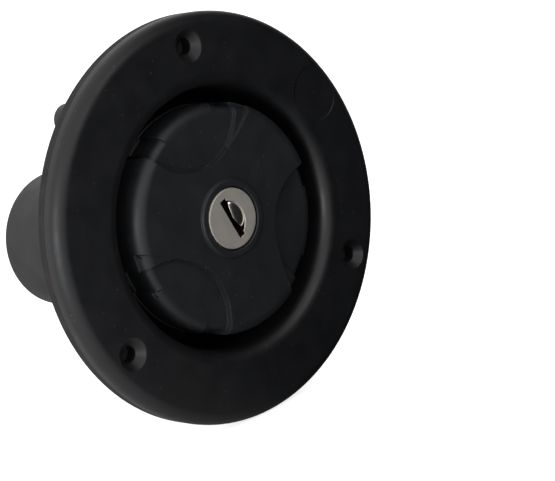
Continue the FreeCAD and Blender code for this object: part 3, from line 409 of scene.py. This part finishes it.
def smooth_and_stand(piece, sharpest=38.0):
    """Smooth the piece, keep its true edges and put it in the row's frame."""
    piece.matrix_world = HATCH_TO_ROW
    in_place(piece)
    bpy.ops.object.shade_smooth_by_angle(angle=math.radians(sharpest))
    return finished_by(piece, "WEIGHTED_NORMAL", mode="FACE_AREA", keep_sharp=True)


def dress(piece, material, slot, body, *nodes):
    piece.data.materials.clear()
    piece.data.materials.append(material)
    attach(piece, body)
    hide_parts(*nodes)


# materials

def add_node(tree, kind, inputs=None, **settings):
    """Add a node; an input given as a socket is linked and any other value is set."""
    made = tree.nodes.new("ShaderNode" + kind)
    for name, value in settings.items():
        setattr(made, name, value)
    for name, value in (inputs or {}).items():
        if isinstance(value, bpy.types.NodeSocket):
            tree.links.new(value, made.inputs[name])
        else:
            made.inputs[name].default_value = value
    return made


def shade(rgb, factor):
    return [min(1.0, part * factor) for part in rgb] + [1.0]


def blank(name):
    material = bpy.data.materials.new(name)
    material.use_nodes = True
    material.node_tree.nodes.clear()
    return material, material.node_tree


def spacing(millimetres):
    """Scale of a texture on Object coordinates, which are in metres, from its spacing."""
    return 1 / millimetres * 1000.0


def ramp_of(tree, factor, stops):
    """A colour ramp through (place, colour) stops."""
    made = add_node(tree, "ValToRGB", {"Fac": factor})
    ramp = made.color_ramp
    ramp.elements[0].position, ramp.elements[0].color = stops[0]
    ramp.elements[1].position, ramp.elements[1].color = stops[-1]
    for place, value in stops[1:-1]:
        ramp.elements.new(place).color = value
    return made.outputs["Color"]


def noise(tree, place, patch_mm, detail=3.0, roughness=0.5, distortion=0.0):
    """A noise whose patches are about patch_mm across."""
    return add_node(tree, "TexNoise", {"Vector": place, "Scale": spacing(patch_mm), "Detail": detail,
                                       "Roughness": roughness, "Distortion": distortion}).outputs["Fac"]


def spread(tree, factor, low, high):
    """A factor carried from 0.3..0.7, where a noise has most of its values, to low..high."""
    return add_node(tree, "MapRange", {"Value": factor, "From Min": 0.3, "From Max": 0.7,
                                       "To Min": low, "To Max": high}).outputs["Result"]


def bumped(tree, steps):
    """Bumps laid on each other, each given as (height socket, millimetres of relief, strength)."""
    normal = None
    for height, relief_mm, strength in steps:
        inputs = {"Height": height, "Distance": relief_mm * MM, "Strength": strength}
        if normal is not None:
            inputs["Normal"] = normal
        normal = add_node(tree, "Bump", inputs).outputs["Normal"]
    return normal


def finish_surface(tree, inputs):
    shader = add_node(tree, "BsdfPrincipled", inputs)
    add_node(tree, "OutputMaterial", {"Surface": shader.outputs["BSDF"]})


def moulded_plastic(name, rgb, roughness, specular, grain_mm, dust_apart_mm=3.2):
    """Injection-moulded black ABS: an even spark-eroded grain that breaks the sheen up, slow sink
    marks that bend it, flow streaks that tint it, and a few specks of handling dust."""
    material, tree = blank(name)
    place = add_node(tree, "TexCoord").outputs["Object"]
    # flow streaks of the melt, about 20 mm apart, and patches of gloss about 7 mm across
    streaks = noise(tree, place, 20, 4.0, 0.6, 1.2)
    patches = noise(tree, place, 7, 3.0)
    # dust specks of about 0.25 mm, a few to each square centimetre
    specks = add_node(tree, "TexVoronoi", {"Vector": place, "Scale": spacing(dust_apart_mm)})
    dust = add_node(tree, "MapRange", {"Value": specks.outputs["Distance"], "From Min": 0.045,
                                       "From Max": 0.09, "To Min": 0.30, "To Max": 0.0}).outputs["Result"]
    tint = ramp_of(tree, streaks, [(0.35, shade(rgb, 0.86)), (0.5, shade(rgb, 1.0)),
                                   (0.66, shade(rgb, 1.22))])
    dusty = add_node(tree, "Mix", {"Factor": dust, "A": tint, "B": linear("#6a6864") + [1.0]},
                     data_type="RGBA")
    # the grain is about 0.12 mm on the part, and is drawn coarser so that it shows
    grain = noise(tree, place, grain_mm, 2.0)
    sinks = noise(tree, place, 26, 1.0)
    finish_surface(tree, {
        "Base Color": dusty.outputs["Result"],
        "Roughness": spread(tree, patches, roughness - 0.05, roughness + 0.06),
        "IOR": 1.53, "Specular IOR Level": specular,
        "Normal": bumped(tree, [(sinks, 0.30, 0.25), (grain, 0.012, 0.35)])})
    return material


def rubber(name, rgb, roughness):
    """Moulded EPDM rubber: dull, faintly mottled by bloom, with a fine talc-like grain."""
    material, tree = blank(name)
    place = add_node(tree, "TexCoord").outputs["Object"]
    bloom = noise(tree, place, 5, 4.0, 0.65)
    grain = noise(tree, place, 0.5, 3.0)
    tint = ramp_of(tree, bloom, [(0.32, shade(rgb, 0.8)), (0.55, shade(rgb, 1.05)),
                                 (0.72, shade(rgb, 1.5))])
    finish_surface(tree, {
        "Base Color": tint, "Roughness": spread(tree, grain, roughness - 0.06, roughness + 0.06),
        "IOR": 1.52, "Specular IOR Level": 0.3, "Normal": bumped(tree, [(grain, 0.03, 0.5)])})
    return material


def worked_metal(name, rgb, roughness, stretch, lines_mm, relief_mm, turn=0.0, metallic=1.0):
    """Rolled or cast metal: fine grinding lines along one direction, which widen its highlight
    across them, and slow stains in its tint. A stretch of 1 gives a cast skin without lines."""
    material, tree = blank(name)
    place = add_node(tree, "TexCoord").outputs["Object"]
    along = add_node(tree, "Mapping", {"Vector": place, "Rotation": (0.0, turn, 0.0),
                                       "Scale": (1.0, 1.0, 1.0 / stretch)}).outputs["Vector"]
    lines = noise(tree, along, lines_mm, 3.0, 0.6)
    stains = noise(tree, place, 4.5, 3.0, 0.55)
    tint = ramp_of(tree, stains, [(0.3, shade(rgb, 0.93)), (0.5, shade(rgb, 1.0)),
                                  (0.7, shade(rgb, 1.05))])
    finish_surface(tree, {
        "Base Color": tint, "Metallic": metallic,
        "Roughness": spread(tree, lines, roughness - 0.06, roughness + 0.08),
        "Normal": bumped(tree, [(lines, relief_mm, 0.6)])})
    return material


def made_materials():
    """Every material of the hatch, by the record's slot."""
    colours = bpy.context.scene.hatch_finishes
    return {
        # spark-eroded moulding: a broad, soft sheen
        "housing_plastic": moulded_plastic("black_abs_spark_eroded", list(colours.housing),
                                           roughness=0.46, specular=0.5, grain_mm=0.34),
        # the cap's tool has a finer grain, and its black is duller and a little paler
        "cap_plastic": moulded_plastic("black_abs_fine_satin", list(colours.cap),
                                       roughness=0.54, specular=0.5, grain_mm=0.28),
        # acetal is waxier than ABS
        "insert_plastic": moulded_plastic("black_acetal_moulded", linear("#1b1c1e"),
                                          roughness=0.38, specular=0.4, grain_mm=0.3),
        # sheet rubber: dull and brownish where the black housing is cool
        "gasket_rubber": rubber("epdm_sheet_brownish", list(colours.gasket), 0.78),
        "seal_rubber": rubber("epdm_moulded_black", linear("#18191a"), 0.6),
        # uncoloured acetal is milky white
        "slip_acetal": moulded_plastic("acetal_natural", linear("#dcd8cc"),
                                       roughness=0.4, specular=0.5, grain_mm=0.3),
        # satin ground: fine upright lines and a dull, warm sheen
        "face_stainless": worked_metal("stainless_satin_ground", list(colours.face), 0.5, stretch=26,
                                       lines_mm=0.10, relief_mm=0.004, turn=math.radians(-20),
                                       metallic=0.7),
        # die castings have a grey skin without lines
        "lock_zinc": worked_metal("zinc_die_cast", linear("#b9babd"), 0.42, stretch=1,
                                  lines_mm=0.35, relief_mm=0.01),
        # the plug's dark colour is painted shade: the plug is darkened, so the key slot looks black
        "plug_painted_shade": worked_metal("zinc_painted_slot_shade", linear("#2b251c"), 0.5, stretch=1,
                                  lines_mm=0.35, relief_mm=0.01, metallic=0.6),
        "screw_steel": worked_metal("steel_zinc_plated", linear("#c4c6c8"), 0.3, stretch=1,
                                    lines_mm=0.25, relief_mm=0.004),
        # rolled sheet, drawn wire and stamped brass have faint lines, drawn upright on all of them
        "sheet_steel": worked_metal("steel_sheet_plated", linear("#bcbdbe"), 0.34, stretch=12,
                                    lines_mm=0.2, relief_mm=0.004),
        "spring_steel": worked_metal("spring_wire_drawn", linear("#8d8e92"), 0.35, stretch=8,
                                     lines_mm=0.08, relief_mm=0.002),
        "wafer_brass": worked_metal("brass_stamped", linear("#c9a659"), 0.32, stretch=6,
                                    lines_mm=0.15, relief_mm=0.004),
    }


def polished_steel():
    """Pressed stainless, buffed: a clear highlight with faint buffing swirls."""
    material, tree = blank("stainless_buffed")
    place = add_node(tree, "TexCoord").outputs["Object"]
    swirls = noise(tree, place, 0.7, 4.0, 0.6, 1.5)
    tint = ramp_of(tree, swirls, [(0.3, linear("#d2cfca") + [1.0]), (0.7, linear("#e4e1dc") + [1.0])])
    finish_surface(tree, {"Base Color": tint, "Metallic": 1.0,
                          "Roughness": spread(tree, swirls, 0.13, 0.22),
                          "Normal": bumped(tree, [(swirls, 0.006, 0.3)])})
    return material


# pieces

class HatchMaterialsMake(bpy.types.Operator):
    """Make the materials and lay them on the CAD nodes"""
    bl_idname = "hatch.materials_make"
    bl_label = "Materials"

    def execute(self, context):
        nothing_selected()
        materials = made_materials()
        slots = {part["node"]: part["material_slot"] for part in frame["record"]["subparts"]}
        for name, node in frame["nodes"].items():
            # the lock plug takes the darkened zinc, whose colour is painted shade in the key slot
            material = materials["plug_painted_shade" if name == "lock_plug" else slots[name]]
            if not node.material_slots:
                node.data.materials.append(material)
            for slot in node.material_slots:
                slot.material = material
        return {"FINISHED"}


def screw_recesses(s):
    """Cutters for the recesses of the screw heads and for their holes."""
    tip, above = s.screw_hole / 2, 4.0
    depth = s.screw_recess - tip
    cone = [(0, -depth), (tip, -depth), (s.screw_recess, 0), (s.screw_recess, above), (0, above)]
    recess = turned_at(turned("RecessCutter", cone, 72, False), s.screw_circle, 0)
    hole = post("HoleCutter", s.screw_hole, -s.flange_thickness - 2, -1.0, s.screw_circle, sides=48)
    return [around_axis(cutter, SCREWS_AROUND, SCREWS_START) for cutter in (recess, hole)]


def pipe_form(name, radius, start, end, rounding, parts, sides):
    """A solid round pipe that runs back from the bowl, with a rounded end."""
    return turned(name, [(0, start), (radius, start)]
                  + bow((radius - rounding, -end + rounding), rounding, 0, -90, parts)
                  + [(0, -end)], sides, False)


def gate_mark(s):
    """Cutter for the shallow round mark of the mould's gate, with its small nick."""
    depth, above = 0.16, 2.0
    from_middle, around = 50.4, math.radians(31)
    nick_outline = [(0, -0.7), (0.45, -0.6), (0.75, 0.5), (0, 0.5)]
    nick_across, nick_along = 4.2, -6.3
    mark = turned("GateCutter", [(0, -depth), (s.gate_radius - 0.5, -depth), (s.gate_radius, -depth * 0.4),
                                 (s.gate_radius + 0.2, above), (0, above)], 72, False)
    nick = turned_at(turned("GateNick", nick_outline, 20, False), nick_across, nick_along)
    for cutter in (mark, nick):
        turned_at(cutter, from_middle, 0)
        cutter.rotation_euler.z = around
        in_place(cutter)
    return [mark, nick]


class HatchHousingMake(bpy.types.Operator):
    """Flange, bowl, filler mouth, hose neck and vent nipple as one moulding"""
    bl_idname = "hatch.housing_make"
    bl_label = "Housing"

    def execute(self, context):
        s = in_millimetres(context.scene.hatch_housing)
        back = -s.flange_thickness
        floor, under = -s.bowl_depth, -s.bowl_depth - s.bowl_floor
        mouth, mouth_out, mouth_rim, mouth_round = 26.5, 29.9, -8.2, 0.5
        rim, skin = 3.2, 2.8
        inner_round, foot_round, back_round = 1.0, 1.2, 1.5
        outline = [(s.bowl_radius + s.lip_round, 0.0)]
        outline += bow((s.flange_radius - s.flange_round, -s.flange_round), s.flange_round, 90, 0, 9)
        outline += [(s.flange_radius, back), (s.flange_radius - rim, back), (s.flange_radius - rim, -skin)]
        outline += bow((s.bowl_outer + inner_round, -skin - inner_round), inner_round, 90, 180, 3)
        outline += bow((s.bowl_outer - back_round, under + back_round), back_round, 0, -90, 5)
        outline += [(0.0, under), (0.0, floor)]
        outline += bow((mouth - inner_round, floor + inner_round), inner_round, -90, 0, 4)
        outline += bow((mouth + mouth_round, mouth_rim - mouth_round), mouth_round, 180, 90, 3)
        outline += bow((mouth_out - mouth_round, mouth_rim - mouth_round), mouth_round, 90, 0, 3)
        outline += bow((mouth_out + foot_round, floor + foot_round), foot_round, 180, 270, 4)
        outline += bow((s.bowl_radius - foot_round, floor + foot_round), foot_round, 270, 360, 4)
        outline += bow((s.bowl_radius + s.lip_round, -s.lip_round), s.lip_round, 180, 95, 9)
        housing = turned("hatch_housing", outline, s.sides)

        neck = pipe_form("Neck", s.neck_outer, under + 1, s.neck_end, 1, 5, 120)
        vent_start, vent_bore_start = -26.0, -27.5
        vent = pipe_form("Vent", s.vent_outer, vent_start, s.vent_end, 0.5, 4, 64)
        grown_by(housing, turned_at(neck, 0, -s.neck_drop), turned_at(vent, 0, s.vent_rise))
        boss = post("Boss", s.screw_recess + 3.0, back + ON_PLANE, -skin + 1, s.screw_circle)
        grown_by(housing, around_axis(boss, SCREWS_AROUND, SCREWS_START))

        beyond = 2
        bore = post("NeckBore", s.neck_bore, -s.neck_end - beyond, floor + beyond, 0, -s.neck_drop, 120)
        vent_bore = post("VentBore", s.vent_bore, -s.vent_end - beyond, vent_bore_start, 0, s.vent_rise, 48)
        # the vent opens through the mouth's wall, and the bolt locks into a pocket in the same wall
        window = block("VentWindow", (-s.vent_bore, s.vent_bore), (24.8, s.vent_rise), (-32.9, -27.6))
        pocket = block("BoltPocket", (23.1, 28.7), (-4.3, 4.3), (-19.55, -15.95))
        cut_away(housing, bore, vent_bore, window, pocket, *screw_recesses(s), *gate_mark(s))

        def at_end(x, y, z, end, middle, radius):
            return abs(z + end) < ON_PLANE and math.hypot(x, y - middle) < radius + 0.1

        def on_edge(x, y, z):
            reach = math.hypot(x, y)
            inside_rim = s.bowl_radius + s.lip_round + 0.5 < reach < s.flange_radius - 5
            return (abs(z) < ON_PLANE and inside_rim
                    or at_end(x, y, z, s.neck_end, -s.neck_drop, s.neck_bore)
                    or at_end(x, y, z, s.vent_end, s.vent_rise, s.vent_bore))

        soften(housing, 0.3, 3, on_edge)
        framed(housing)
        ridge_outline = [(29.6, -19.6), (31.2, -19.1), (31.2, -17.5), (29.6, -17.0)]
        as_one(housing, [helical_ridge("Ridge", ridge_outline, math.radians(75))])
        smooth_and_stand(housing)
        dress(housing, bpy.data.materials["black_abs_spark_eroded"], "housing_plastic", "root", "housing")
        return {"FINISHED"}


class HatchGasketMake(bpy.types.Operator):
    """Rubber sheet between the flange and the wall, with small holes that the screws open up"""
    bl_idname = "hatch.gasket_make"
    bl_label = "Gasket"

    def execute(self, context):
        s = in_millimetres(context.scene.hatch_housing)
        bore, front, back, edge = s.bowl_outer + 0.7, -s.flange_thickness, WALL_PLANE, s.flange_radius
        back_round, front_bevel, prick_radius = 0.3, 0.25, 0.9
        outline = [(bore, back), (edge - back_round, back)]
        outline += bow((edge - back_round, back + back_round), back_round, -90, 0, 3)
        # the cut edge has a faint groove along its middle
        outline += [(edge, back + 1.1), (edge - 0.08, back + 1.5), (edge, back + 1.9),
                    (edge, front - front_bevel), (edge - front_bevel, front), (bore, front)]
        gasket = turned("wall_gasket_sheet", outline, s.sides)
        holes = post("ScrewPrick", prick_radius, back - 1, front + 1, s.screw_circle, sides=24)
        cut_away(gasket, around_axis(holes, SCREWS_AROUND, SCREWS_START))
        smooth_and_stand(gasket)
        dress(gasket, bpy.data.materials["epdm_sheet_brownish"], "gasket_rubber", "root", "wall_gasket")
        return {"FINISHED"}


def under_form(name, top, radius, rounding, sides):
    """A turned block with a rounded rim: what a cutter leaves standing of the cap."""
    base = -14.0
    return turned(name, [(0, base), (radius, base)]
                  + bow((radius - rounding, top - rounding), rounding, 0, 90, 7) + [(0, top)], sides, False)


class HatchCapMake(bpy.types.Operator):
    """Turning cap with three stepped finger scoops and a collar round the lock"""
    bl_idname = "hatch.cap_make"
    bl_label = "Cap"

    def execute(self, context):
        s = in_millimetres(context.scene.hatch_cap)
        sides = context.scene.hatch_housing.sides
        top, roof, land, land_in, skirt_end, skirt = 1.0, -3.0, -5.0, 22.5, -23.7, 31.5
        hub, seat, seat_top, hub_out, hub_end = 9.3, 10.05, -2.6, 12.5, -13.45
        groove, groove_low, groove_high = 10.9, -12.7, -11.6
        hub_round, collar_round, skirt_bevel, skirt_inner_bevel = 0.35, 0.6, 0.5, 0.4
        collar_top = top + s.collar_height
        outline = bow((hub + hub_round, collar_top - hub_round), hub_round, 180, 90, 3)
        outline += bow((s.collar_radius - collar_round, collar_top - collar_round), collar_round, 90, 0, 4)
        outline += [(s.collar_radius, top + 0.12), (s.collar_radius + 0.15, top)]
        outline += bow((s.cap_radius - s.cap_round, top - s.cap_round), s.cap_round, 90, 0, 9)
        outline += [(s.cap_radius, skirt_end + skirt_bevel), (s.cap_radius - skirt_bevel, skirt_end),
                    (skirt + skirt_inner_bevel, skirt_end), (skirt, skirt_end + skirt_inner_bevel),
                    (skirt, land), (land_in, land), (land_in, roof), (hub_out, roof), (hub_out, hub_end),
                    (seat, hub_end), (seat, groove_low), (groove, groove_low), (groove, groove_high),
                    (seat, groove_high), (seat, seat_top), (hub, seat_top)]
        cap = turned("hatch_cap", outline, sides)

        # the ledge runs from a scoop's arc out past the rim
        floor, ledge_floor, above = top - s.scoop_depth, top - s.ledge_depth, 4.0
        corners = [(18.4, -7.8), (20.6, -13.6), (23.6, -19.0), (27.0, -24.0), (36.5, -20.0), (36.5, -10.0)]
        ledge = prism("Ledge", corners, ledge_floor - 3.0, above)
        cut_away(ledge, under_form("LedgeForm", ledge_floor, s.cap_radius - 0.7, s.cap_round, sides))
        # a scoop takes the rim back to the notch radius, but for the tongue in its middle
        tongue = under_form("TongueForm", floor - 0.01, s.cap_radius - 0.35, s.cap_round - 0.6, sides)
        near, far = 22, 39
        corners = [(reach * math.cos(turn), reach * math.sin(turn))
                   for reach, turn in ((near, -s.tongue_angle), (near, s.tongue_angle),
                                       (far, s.tongue_angle), (far, -s.tongue_angle))]
        met_by(tongue, prism("TongueWedge", corners, -15.0, 3.0))
        scoop_end, notch_round = -11.0, 2.4
        scoop = post("Scoop", s.scoop_radius, scoop_end, above, s.scoop_distance, 0, 120)
        cut_away(scoop, under_form("ScoopForm", floor, s.notch_radius, notch_round, sides), tongue)
        for cutter in (ledge, scoop):
            around_axis(cutter, SCOOPS_AROUND, s.scoop_angle)
            cut_away(cap, cutter)

        def on_face(x, y, z):
            return z > scoop_end - 0.5 and math.hypot(x, y) > s.collar_radius + 1

        soften(cap, s.soft_edge, 2, on_face)
        framed(cap)
        lug_outline = [(30.2, -22.0), (31.8, -22.5), (31.8, -19.9), (30.2, -20.4)]
        as_one(cap, [helical_ridge("Lug", lug_outline, math.radians(35))])
        smooth_and_stand(cap)
        dress(cap, bpy.data.materials["black_abs_fine_satin"], "cap_plastic", "cap", "cap_knob")
        return {"FINISHED"}


class HatchLockFaceMake(bpy.types.Operator):
    """Pressed stainless face with its key slot and the eye over the shutter"""
    bl_idname = "hatch.lock_face_make"
    bl_label = "Lock face"

    def execute(self, context):
        s = in_millimetres(context.scene.hatch_lock)
        top, skirt_end = 1.6, -1.9
        sheet, round_off = s.face_sheet, s.face_round
        inside = s.face_radius - sheet
        outline = [(0.0, top)] + bow((s.face_radius - round_off, top - round_off), round_off, 90, 0, 6)
        outline += [(s.face_radius, skirt_end), (inside, skirt_end), (inside, top - sheet), (0.0, top - sheet)]
        face = turned("lock_face_plate", outline, 128, False)
        half, reach = s.slot_width / 2, s.slot_length / 2
        slot = block("KeySlot", (-half, half), (-reach, reach), (0.0, 4.0))
        offset = s.eye_reach - s.eye_radius
        ends = math.degrees(math.acos(-offset / s.eye_radius))
        eye = prism("Eye", bow((offset, 0.0), s.eye_radius, -ends, ends, 36), 0.2, 4.2)
        cut_away(face, slot, eye)

        def on_opening(x, y, z):
            return abs(z - top) < ON_PLANE and math.hypot(x, y) < s.face_radius - 1

        soften(face, 0.12, 2, on_opening)
        face.rotation_euler.z = s.key_angle
        in_place(face)
        smooth_and_stand(face)
        dress(face, bpy.data.materials["stainless_satin_ground"], "face_stainless", "plug", "lock_face")
        return {"FINISHED"}


class HatchShutterMake(bpy.types.Operator):
    """Domed dust shutter with two knuckles round its pin"""
    bl_idname = "hatch.shutter_make"
    bl_label = "Dust shutter"

    def execute(self, context):
        s = in_millimetres(context.scene.hatch_lock)
        sheet, outer_cut, shell_depth = 0.22, 4.6, 0.15
        edge_radius, edge_centre = 8.0, 8.5
        half_length, knuckle_start, side_gap = 4.3, 1.6, 0.05
        pin_across, pin_height, eye, knuckle_radius, knuckle_bevel = 5.1, -0.1, 0.56, 0.9, 0.1
        nothing_selected()
        base = s.dome_crown - s.dome_height
        bpy.ops.mesh.primitive_uv_sphere_add(segments=128, ring_count=96, radius=1.0,
                                             location=(s.dome_centre, 0, base))
        dome = bpy.context.active_object
        dome.name = dome.data.name = "dust_shutter_flap"
        dome.scale = (s.dome_half_width, s.dome_half_length, s.dome_height)
        in_place(dome)
        bpy.ops.object.mode_set(mode="EDIT")
        for place, normal in (((outer_cut, 0, 0), (1, 0, 0)), ((0, 0, base - shell_depth), (0, 0, -1))):
            bpy.ops.mesh.select_all(action="SELECT")
            bpy.ops.mesh.bisect(plane_co=place, plane_no=normal, clear_outer=True)
        bpy.ops.object.mode_set(mode="OBJECT")
        finished_by(dome, "SOLIDIFY", thickness=sheet, offset=-1.0)
        # the free edge bows towards the key slot
        met_by(dome, post("FreeEdge", edge_radius, -3.0, 3.0, edge_centre, 0, 160))

        knuckles = []
        end_radius, side_end = knuckle_radius - knuckle_bevel, half_length - side_gap
        for near, far in ((knuckle_start, side_end), (-side_end, -knuckle_start)):
            knuckle = turned("Knuckle", [(eye, near), (end_radius, near),
                                         (knuckle_radius, near + knuckle_bevel),
                                         (knuckle_radius, far - knuckle_bevel),
                                         (end_radius, far), (eye, far)], 40)
            knuckle.rotation_euler.x = math.radians(-90)
            in_place(knuckle)
            turned_at(knuckle, pin_across, 0)
            knuckle.location.z = pin_height
            in_place(knuckle)
            knuckles += [knuckle, block("Arm", (3.6, 4.7), (near, far), (-0.5, 0.3))]
        soften(dome, 0.08, 2, lambda x, y, z: True, math.radians(50))
        as_one(dome, knuckles)
        dome.rotation_euler.z = s.key_angle
        in_place(dome)
        smooth_and_stand(dome, 45)
        dress(dome, polished_steel(), "face_stainless", "shutter", "dust_shutter")
        return {"FINISHED"}


# stage

def lamp(name, place, across, power, tint):
    """A square soft light that faces the object."""
    nothing_selected()
    bpy.ops.object.light_add(type="AREA", location=place)
    light = bpy.context.active_object
    light.name = name
    light.data.size = across
    light.data.energy = power
    light.data.color = linear(tint)
    light.rotation_euler = (-Vector(place)).to_track_quat("-Z", "Y").to_euler()


def larger_rise(tree, rises):
    """The larger of two smooth rises from 0 to 1, each given as (socket, start, end)."""
    risen = [add_node(tree, "MapRange", {"Value": value, "From Min": start, "From Max": end,
                                         "To Min": 0.0, "To Max": 1.0},
                      interpolation_type="SMOOTHSTEP").outputs["Result"] for value, start, end in rises]
    return add_node(tree, "Math", dict(enumerate(risen)), operation="MAXIMUM").outputs["Value"]


def studio_world():
    """White behind the object and on its left; the room on its front and right is dim."""
    world = bpy.data.worlds.new("hatch_studio")
    bpy.context.scene.world = world
    world.use_nodes = True
    tree = world.node_tree
    tree.nodes.clear()
    way = add_node(tree, "TexCoord").outputs["Generated"]
    behind = add_node(tree, "SeparateXYZ", {"Vector": way}).outputs["Y"]
    up_left = add_node(tree, "VectorMath", {0: way, 1: (-0.85, 0.0, 0.5)},
                       operation="DOT_PRODUCT").outputs["Value"]
    bright = larger_rise(tree, [(behind, 0.05, 0.6), (up_left, -0.1, 0.45)])
    room = ramp_of(tree, bright, [(0.0, (0.02, 0.02, 0.021, 1)), (1.0, (0.9, 0.9, 0.9, 1))])
    rays = add_node(tree, "LightPath")
    seen = add_node(tree, "Mix", {"Factor": rays.outputs["Is Camera Ray"], "A": room,
                                  "B": (1.0, 1.0, 1.0, 1.0)}, data_type="RGBA")
    sky = add_node(tree, "Background", {"Color": seen.outputs["Result"], "Strength": 1.0})
    add_node(tree, "OutputWorld", {"Surface": sky.outputs["Background"]})


def floor_material():
    """Matt white board, faintly mottled. A little glow keeps it white where the object's shadow lies."""
    material, tree = blank("matt_white_board")
    place = add_node(tree, "TexCoord").outputs["Object"]
    mottle = noise(tree, place, 60, 3.0)
    pale = ramp_of(tree, mottle, [(0.3, (0.93, 0.93, 0.93, 1)), (0.7, (0.96, 0.96, 0.96, 1))])
    board = add_node(tree, "BsdfPrincipled", {"Base Color": pale, "Roughness": 0.9,
                                              "Specular IOR Level": 0.1})
    glow = add_node(tree, "Emission", {"Color": (1.0, 1.0, 1.0, 1.0), "Strength": 0.75})
    lit = add_node(tree, "AddShader", {0: board.outputs["BSDF"], 1: glow.outputs["Emission"]})
    # in front of the object the board throws little light back at it, so that its black stays black
    across = add_node(tree, "SeparateXYZ", {"Vector": place})
    bright = larger_rise(tree, [(across.outputs["X"], 0.03, -0.1), (across.outputs["Y"], 0.0, 0.25)])
    cast = ramp_of(tree, bright, [(0.0, (0.02, 0.02, 0.02, 1)), (1.0, (0.8, 0.8, 0.8, 1))])
    dim = add_node(tree, "Emission", {"Color": cast, "Strength": 1.0})
    rays = add_node(tree, "LightPath")
    seen = add_node(tree, "MixShader", {"Fac": rays.outputs["Is Camera Ray"], 1: dim.outputs["Emission"],
                                        2: lit.outputs["Shader"]})
    add_node(tree, "OutputMaterial", {"Surface": seen.outputs["Shader"]})
    return material


class HatchStageMake(bpy.types.Operator):
    """Camera, lights, white surroundings and floor"""
    bl_idname = "hatch.stage_make"
    bl_label = "Stage"

    def execute(self, context):
        stage = context.scene.hatch_stage
        nothing_selected()
        bpy.ops.object.camera_add()
        camera = context.active_object
        camera.name = "photo_camera"
        camera.data.lens = stage.lens
        camera.data.sensor_width = 36.0
        camera.data.clip_start = 0.01
        # the camera's own axes, and its place in metres
        right, up, back = (0.7116, -0.6674, -0.2196), (0.3090, 0.0165, 0.9509), (-0.6310, -0.7445, 0.2180)
        stand = Matrix((right, up, back)).transposed().to_4x4()
        stand.translation = (-0.2950, -0.3755, 0.0955)
        camera.matrix_world = stand
        context.scene.camera = camera

        studio_world()
        lamp("left_softbox", (-0.90, -0.30, 0.0), 0.5, stage.left_light, "#fdfeff")
        lamp("front_softbox", (0.08, -0.75, 0.48), 0.3, stage.front_light, "#fffdfa")
        nothing_selected()
        underside = cad_box[0][2]
        bpy.ops.mesh.primitive_grid_add(x_subdivisions=4, y_subdivisions=4, size=6.0,
                                        location=(0, 0, underside))
        floor = context.active_object
        floor.name = "floor"
        in_place(floor)
        floor.data.materials.append(floor_material())
        context.scene.view_settings.view_transform = "Standard"
        return {"FINISHED"}


class HatchPanel(bpy.types.Panel):
    """Lists the steps that build the hatch, with their sizes"""
    bl_idname = "VIEW3D_PT_hatch"
    bl_label = "Water filler hatch"
    bl_space_type = "VIEW_3D"
    bl_region_type = "UI"
    bl_category = "Hatch"

    def draw(self, context):
        layout = self.layout
        for group in ("hatch_housing", "hatch_cap", "hatch_lock", "hatch_finishes", "hatch_stage"):
            column = layout.box().column()
            values = getattr(context.scene, group)
            for name in values.__annotations__:
                column.prop(values, name)
        for step in STEPS:
            layout.operator(step.bl_idname)


GROUPS = {
    "hatch_housing": HatchHousingSizes,
    "hatch_cap": HatchCapSizes,
    "hatch_lock": HatchLockSizes,
    "hatch_finishes": HatchFinishes,
    "hatch_stage": HatchStage,
}
STEPS = (HatchMaterialsMake, HatchHousingMake, HatchGasketMake, HatchCapMake, HatchLockFaceMake,
         HatchShutterMake, HatchStageMake)


def register():
    for kind in (*GROUPS.values(), *STEPS, HatchPanel):
        bpy.utils.register_class(kind)
    for name, kind in GROUPS.items():
        setattr(bpy.types.Scene, name, PointerProperty(type=kind))


def unregister():
    for name in GROUPS:
        delattr(bpy.types.Scene, name)
    for kind in reversed((*GROUPS.values(), *STEPS, HatchPanel)):
        bpy.utils.unregister_class(kind)


def main():
    register()
    nothing_selected()
    for step in STEPS:
        package, operator = step.bl_idname.split(".")
        getattr(getattr(bpy.ops, package), operator)()


if __name__ == "__main__":
    main()
